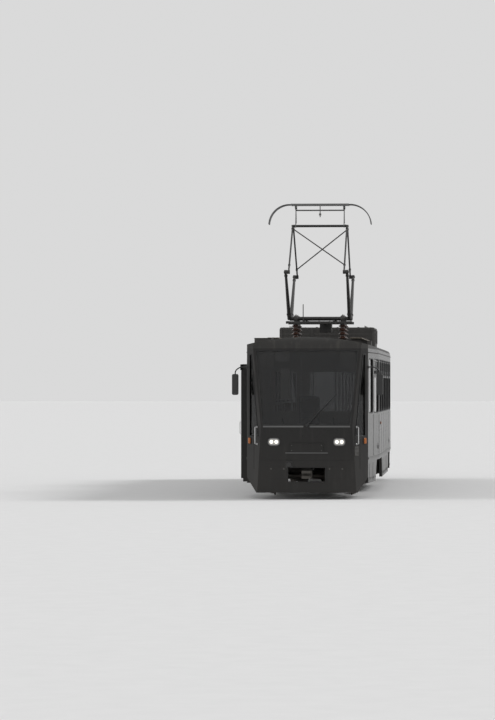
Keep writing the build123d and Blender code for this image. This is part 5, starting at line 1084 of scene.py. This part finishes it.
def make_mirrors():
    """Mirror housings with glass at the back, on bent arms with clamps."""
    housings, glasses, arms = [], [], []
    for side in (1, -1):
        look = place((7.190, side * 1.365, 2.16), (0, 1, 0), (0, 0, 1))
        case = plate(0.122, 0.396, 0.034, 0.030, edge=0.014, steps=4, edge_steps=3)
        housings += spread(case, [out_by(look, -0.036)])
        rim = plate(0.122, 0.396, 0.030, 0.030, border=0.008, edge=0.003, steps=4)
        back = place((7.156, side * 1.365, 2.16), (0, -1, 0), (0, 0, 1))
        housings += spread(rim, [back])
        glasses += spread(plate(0.108, 0.382, 0.004, 0.024, edge=0.001, steps=4), [out_by(back, 0.018)])
        line = rounded_path([(7.130, side * 1.140, 2.49), (7.150, side * 1.274, 2.49),
                             (7.155, side * 1.365, 2.42), (7.155, side * 1.365, 2.30)], 0.05)
        arms.append(pipe(line, 0.012, 10))
        clamp = slab(0.05, 0.06, 0.026, 0.005)
        arms += spread(clamp, [place((7.150, side * 1.365, 2.325), (0, 1, 0), (0, 0, 1))])
        foot = turned([(0, 0), (0.032, 0), (0.030, 0.008), (0.016, 0.012), (0.014, 0.03), (0, 0.03)], 16)
        arms += spread(foot, [on_side(side, 7.05, 2.49)])
    piece("mirror_housings", "black_plastic", "carbody", housings, replaces=["mirrors"])
    piece("mirror_glasses", "mirror_glass", "carbody", glasses)
    piece("mirror_arms", "black_plastic", "carbody", arms)


# Doors

def make_doors():
    """Rubber edges, kick plates, handles and screws on each leaf, and bolts on the rail covers."""
    middle_z, height = (LEAF_FOOT + 2.42) / 2, 2.42 - LEAF_FOOT
    for name, x0, x1, lead in DOORS:
        body = "door_" + name
        edge_x = x1 - 0.016 if lead > 0 else x0 + 0.016
        face = place(((x0 + x1) / 2, LEAF_OUT, 0), (1, 0, 0), (0, 0, 1))
        width = x1 - x0
        seal = spread(slab(0.030, height, 0.004, 0.0015), [place((edge_x, LEAF_OUT, middle_z), (1, 0, 0), (0, 0, 1))])
        piece("door_edge_" + name, "black_rubber", body, seal)
        kick = plate(width - 0.09, 0.15, 0.003, 0.015, edge=0.0008)
        parts = spread(kick, [out_by(face, -0.0004, up=0.455)])
        parts += spread(rivet(0.006), [out_by(face, 0.0022, right=s * (width / 2 - 0.07), up=z)
                                       for s in (-1, 0, 1) for z in (0.395, 0.515)])
        piece("door_kick_plate_" + name, "trim_metal", body, parts)
        line = rounded_path([(0, -0.11, 0), (0, -0.11, 0.0), (0, -0.11, 0.030), (0, 0.11, 0.030), (0, 0.11, 0)], 0.014)
        stile = (width / 2 - 0.055) * (1 if edge_x > (x0 + x1) / 2 else -1)
        grip = spread(pipe(line[1:], 0.006, 8), [out_by(face, 0, right=stile, up=1.33)])
        grip += spread(turned([(0, 0), (0.014, 0), (0.012, 0.004), (0, 0.004)], 12),
                       [out_by(face, -0.0003, right=stile, up=1.33 + k * 0.11) for k in (-1, 1)])
        piece("door_handle_" + name, "rail_steel", body, grip)
    bolts = []
    for low, high in ((4.35, 6.15), (-1.44, 1.44), (-6.15, -4.35)):
        bolts += [place((x, -1.3365, 2.515), (1, 0, 0), (0, 0, 1)) for x in spaced(low + 0.1, high - 0.1, 0.2)]
    piece("rail_cover_bolts", "trim_metal", "carbody", spread(bolt(0.007, 0.005), bolts))


# Running gear and underfloor

def make_bogies():
    """Axle-box covers, coil springs, brake rods and sand pipes on both bogies; studs and caps on the wheels."""
    for name, x in BOGIE_PLACES:
        covers, studs, springs, rods = [], [], [], []
        for side in (1, -1):
            for dx in (-0.97, 0.97):
                spot = place((x + dx, side * 0.9995, AXLE_Z), (-side, 0, 0), (0, 0, 1))
                covers.append(spot)
                studs += [turn(spot, k * 60) @ Matrix.Translation((0.080, 0, 0.010)) for k in range(6)]
            for dx in (-0.085, 0.085):
                springs.append(on_top(x + dx, side * 0.915, 0.520))
            rods.append(pipe([(x - 0.75, side * 0.70, 0.30), (x + 0.75, side * 0.70, 0.30)], 0.013, 8))
            for end in (-1, 1):
                line = rounded_path([(x + end * 1.15, side * 0.90, 0.57), (x + end * 1.37, side * 0.75, 0.53),
                                     (x + end * 1.37, side * 0.75, 0.16), (x + end * 1.33, side * 0.75, 0.09)], 0.03)
                rods.append(pipe(line, 0.014, 8))
        cover = turned([(0, 0), (0.096, 0), (0.096, 0.008), (0.062, 0.012), (0.056, 0.020), (0, 0.022)], 24)
        body = "bogie_" + name
        piece("axle_box_covers_" + name, "cast_steel", body,
              spread(cover, covers) + spread(bolt(0.009, 0.008), studs))
        piece("bolster_springs_" + name, "spring_steel", body, spread(coil(0.048, 0.0115, 0.090, 3.6, 16), springs),
              replaces=["bogie_springs_" + name])
        piece("bogie_pipes_" + name, "frame_paint", body, rods)
    for number, x in AXLES:
        studs, rings = [], []
        for side in (1, -1):
            face = place((x, side * 0.7945, AXLE_Z), (-side, 0, 0), (0, 0, 1))
            studs += [turn(face, k * 36) @ Matrix.Translation((0.235, 0, 0)) for k in range(10)]
            rings.append(out_by(face, 0.0400))
        ring = turned([(0.052, -0.002), (0.092, -0.002), (0.092, 0.004), (0.052, 0.004), (0.052, -0.002)], 24)
        piece("wheel_studs_%d" % number, "cast_steel", "wheelset_%d" % number,
              spread(bolt(0.012, 0.010), studs) + spread(ring, rings))


def make_underfloor():
    """Hinges, latches and louvres on the equipment boxes' lids, with pipe runs beside them."""
    louvres, hinges, latches = [], [], []
    for x0, x1, side, low in UNDER_BOXES:
        x, z = (x0 + x1) / 2, (low + 0.82) / 2
        spot = place((x, side * 1.185, z), (-side, 0, 0), (0, 0, 1))
        for k in (-1, 1):
            hinges.append(out_by(spot, -0.001, right=k * (x1 - x0) * 0.3, up=(0.82 - low) / 2 - 0.045))
            latches.append(out_by(spot, -0.001, right=k * (x1 - x0) * 0.3, up=0.08 - (0.82 - low) / 2))
        louvres.append(out_by(spot, -0.001))
    hinge = joined([slab(0.09, 0.034, 0.004, 0.001), lifted(slab(0.08, 0.010, 0.009, 0.003), 0.002)])
    latch = joined([slab(0.04, 0.06, 0.005, 0.001), lifted(slab(0.016, 0.04, 0.012, 0.004), 0.003)])
    piece("underfloor_latches", "frame_paint", "carbody", spread(hinge, hinges) + spread(latch, latches))
    piece("underfloor_louvres", "frame_paint", "carbody", spread(louvre(0.42, 0.17, 6, 0.009), louvres))
    runs = []
    for y, z, radius in ((0.62, 0.80, 0.016), (0.68, 0.80, 0.012), (-0.62, 0.80, 0.016)):
        runs.append(pipe([(-2.3, y * 0.70, z), (2.3, y * 0.70, z)], radius, 8))
    piece("underfloor_pipes", "frame_paint", "carbody", runs)


# Inside

def make_inside():
    """Ceiling lights, seat rims and grips, and step edges."""
    lights = []
    for side in (1, -1):
        y = side * 0.62
        top = math.sqrt((ROOF_RADIUS) ** 2 - y * y) + ROOF_CREST_Z - ROOF_RADIUS - 0.060
        for x in spaced(-6.0, 5.4, 1.9):
            lights.append(place((x, y, top - 0.001), (1, 0, 0), (0, -1, 0)))
    piece("ceiling_light_bases", "trim_metal", "carbody",
          spread(slab(1.30, 0.15, 0.016, 0.004), lights))
    piece("ceiling_light_covers", "frosted_cover", "carbody",
          spread(plate(1.26, 0.12, 0.030, 0.02, edge=0.014, edge_steps=3), [out_by(s, 0.014) for s in lights]))
    rims, grips = [], []
    for side, places in SEAT_TABLE:
        for x in places:
            wall = wall_y(abs(x) + 0.3) - 0.08
            y0, y1 = side * (wall - 0.43), side * wall
            line = rounded_path([(x - 0.262, y0, 1.60), (x - 0.277, y0, 1.775), (x - 0.277, y1, 1.775),
                                 (x - 0.262, y1, 1.60)], 0.05)
            rims.append(pipe(line, 0.011, 8))
            for y in (y0, y1):
                rims.append(pipe([(x - 0.150, y, 1.315), (x - 0.262, y, 1.60)], 0.011, 8))
            mid = (y0 + y1) / 2
            grips.append(pipe(rounded_path([(x - 0.277, mid - 0.09, 1.775), (x - 0.295, mid - 0.09, 1.84),
                                            (x - 0.295, mid + 0.09, 1.84), (x - 0.277, mid + 0.09, 1.775)], 0.03),
                              0.009, 8))
    piece("seat_rims", "rail_steel", "carbody", rims + grips)
    noses = []
    for x0, x1 in ((5.2, 6.0), (-0.7, 0.7), (-6.0, -5.2)):
        for z, y in ((0.64, -1.03), (0.385, -1.212), (0.89, -0.83)):
            nose = slab(x1 - x0 - 0.01, 0.04, 0.004, 0.001)
            noses += spread(nose, [on_top((x0 + x1) / 2, y + 0.022, z - 0.0003)])
    piece("step_edges", "trim_metal", "carbody", noses)


def make_desk():
    """Dials, switches and handles on the driver's desk."""
    dials, rims, keys, levers = [], [], [], []
    top = place((7.19, 0, 1.3895), (0, 1, 0), (-1, 0, 0))
    for k, y in enumerate((-0.24, -0.08, 0.08, 0.24)):
        rims.append(out_by(top, 0, right=y, up=-0.06))
        dials.append(out_by(top, 0.004, right=y, up=-0.06))
    for row in (0, 1):
        keys += [out_by(top, 0, right=-0.62 + 0.045 * k, up=0.10 - 0.07 * row) for k in range(10)]
    for y in (-0.46, 0.50):
        levers += spread(turned([(0, 0), (0.055, 0), (0.055, 0.010), (0.020, 0.016), (0.014, 0.09), (0.022, 0.10),
                                 (0.022, 0.13), (0, 0.14)], 16), [out_by(top, 0, right=y, up=0.12)])
    rim = turned([(0.042, 0), (0.060, 0), (0.060, 0.014), (0.052, 0.020), (0.042, 0.016), (0.042, 0)], 24)
    piece("desk_controls", "black_plastic", "carbody",
          spread(rim, rims) + spread(slab(0.018, 0.030, 0.014, 0.003), keys) + levers)
    face = turned([(0, 0), (0.044, 0), (0.044, 0.003), (0, 0.003)], 24)
    piece("desk_dials", "blank_plate", "carbody", spread(face, dials))


def make_driver_seat():
    """A sewn seat and back that swell between their seams, on a turned post with a foot plate."""
    stand = turned([(0, 0), (0.19, 0), (0.19, 0.014), (0.08, 0.026), (0.055, 0.05), (0.052, 0.24), (0.042, 0.25),
                    (0.042, 0.40), (0.10, 0.41), (0.10, 0.42), (0, 0.42)], 28)
    parts = spread(stand, [on_top(6.62, 0, 0.8895)])
    pan = plate(0.43, 0.45, 0.020, 0.06, edge=0.004)
    parts += spread(pan, [on_top(6.62, 0, 1.262)])
    lean = place((6.400, 0, 1.66), (0, -1, 0), (-0.133, 0, 1))
    parts += spread(plate(0.40, 0.56, 0.018, 0.06, edge=0.004), [out_by(lean, 0)])
    parts.append(pipe(rounded_path([(6.50, 0, 1.272), (6.405, 0, 1.272), (6.395, 0, 1.50)], 0.05), 0.016, 10))
    piece("driver_seat_frame", "black_plastic", "carbody", parts, replaces=["driver_seat"])
    seat = cushion(0.40, 0.40, 0.055, 0.055, (-0.10, 0.0, 0.10))
    back = cushion(0.36, 0.52, 0.045, 0.055, (-0.15, -0.05, 0.05, 0.15))
    seats = spread(seat, [turn(on_top(6.625, 0, 1.283), 90)])
    backs = spread(back, [place((6.422, 0, 1.66), (0, 1, 0), (-0.133, 0, 1))])
    for name, items in (("driver_seat_cushion", seats), ("driver_seat_back", backs)):
        pad = piece(name, "seat_cloth", "carbody", items, angle=60)


# Stage, light and camera

FLOOR_REACH = 400.0
PHOTO_WIDTH, PHOTO_HEIGHT = 495, 720
FOCAL_PIXELS = 3573.0
VANISHING_PIXEL = (480.0, 385.0)
CAMERA_PLACE = (74.5, 3.25, 2.15)
SENSOR = 36.0


def make_stage():
    """A pale floor, with the same pale tone behind it for what the camera sees."""
    bpy.ops.mesh.primitive_plane_add(size=2 * FLOOR_REACH, location=(0, 0, 0))
    floor = bpy.context.object
    floor.name = "studio_floor"
    material, tree, shader = new_material("studio_floor", Roughness=0.9, Specular_IOR_Level=0.1)
    fine = noise(tree, object_place(tree), 3.0, 4.0)
    tree.links.new(mix_color(tree, fine, grey(0.70), grey(0.76)), shader.inputs["Base Color"])
    floor.data.materials.append(material)
    world = bpy.data.worlds.new("studio")
    bpy.context.scene.world = world
    world.use_nodes = True
    tree = world.node_tree
    seen, fill = tree.nodes["Background"], tree.nodes.new("ShaderNodeBackground")
    seen.inputs["Color"].default_value = grey(0.70)
    fill.inputs["Color"].default_value = grey(0.90)
    fill.inputs["Strength"].default_value = 0.50
    path = tree.nodes.new("ShaderNodeLightPath").outputs
    direct = math_node(tree, "MAXIMUM", math_node(tree, "MAXIMUM", path["Is Camera Ray"], path["Is Glossy Ray"]),
                       path["Is Transmission Ray"])
    mix = tree.nodes.new("ShaderNodeMixShader")
    tree.links.new(direct, mix.inputs[0])
    tree.links.new(fill.outputs[0], mix.inputs[1])
    tree.links.new(seen.outputs[0], mix.inputs[2])
    tree.links.new(mix.outputs[0], tree.nodes["World Output"].inputs["Surface"])


def soft_sun(name, direction, strength, spread_degrees, mirrored=True):
    """A broad sun from the given direction: it lights the whole floor evenly. A fill isn't mirrored in glass."""
    data = bpy.data.lights.new(name, "SUN")
    data.energy = strength
    data.angle = math.radians(spread_degrees)
    lamp = bpy.data.objects.new(name, data)
    lamp.rotation_euler = Vector(direction).to_track_quat("Z", "Y").to_euler()
    lamp.visible_glossy = mirrored
    bpy.context.scene.collection.objects.link(lamp)


def make_lights():
    """A key from the car's left and behind, as in the street, with weak fills from its front and its right."""
    soft_sun("key", (-0.25, 0.80, 0.62), 1.7, 18)
    soft_sun("front_fill", (0.80, -0.15, 0.45), 0.5, 40, mirrored=False)
    soft_sun("right_fill", (0.10, -0.85, 0.50), 0.9, 40, mirrored=False)


def make_camera():
    """The photo's long lens, far down the street: its vanishing point lies well right of the middle."""
    data = bpy.data.cameras.new("street_camera")
    data.sensor_width = SENSOR
    data.lens = FOCAL_PIXELS / PHOTO_HEIGHT * SENSOR
    data.clip_end = 1000.0
    yaw = math.atan((VANISHING_PIXEL[0] - PHOTO_WIDTH / 2) / FOCAL_PIXELS)
    pitch = math.atan((VANISHING_PIXEL[1] - PHOTO_HEIGHT / 2) / FOCAL_PIXELS)
    camera = bpy.data.objects.new("street_camera", data)
    look = Vector((-math.cos(yaw) * math.cos(pitch), -math.sin(yaw) * math.cos(pitch), math.sin(pitch)))
    camera.location = CAMERA_PLACE
    camera.rotation_euler = look.to_track_quat("-Z", "Y").to_euler()
    bpy.context.scene.collection.objects.link(camera)
    bpy.context.scene.camera = camera


for make in (make_windows, make_side_panels, make_side_lamps, make_roof_boxes, make_boards, make_collector,
             make_lamps, make_front_fittings, make_wiper, make_mirrors, make_doors, make_bogies, make_underfloor,
             make_inside, make_desk, make_driver_seat, make_stage, make_lights, make_camera):
    make()
bpy.context.scene.view_settings.view_transform = "Standard"
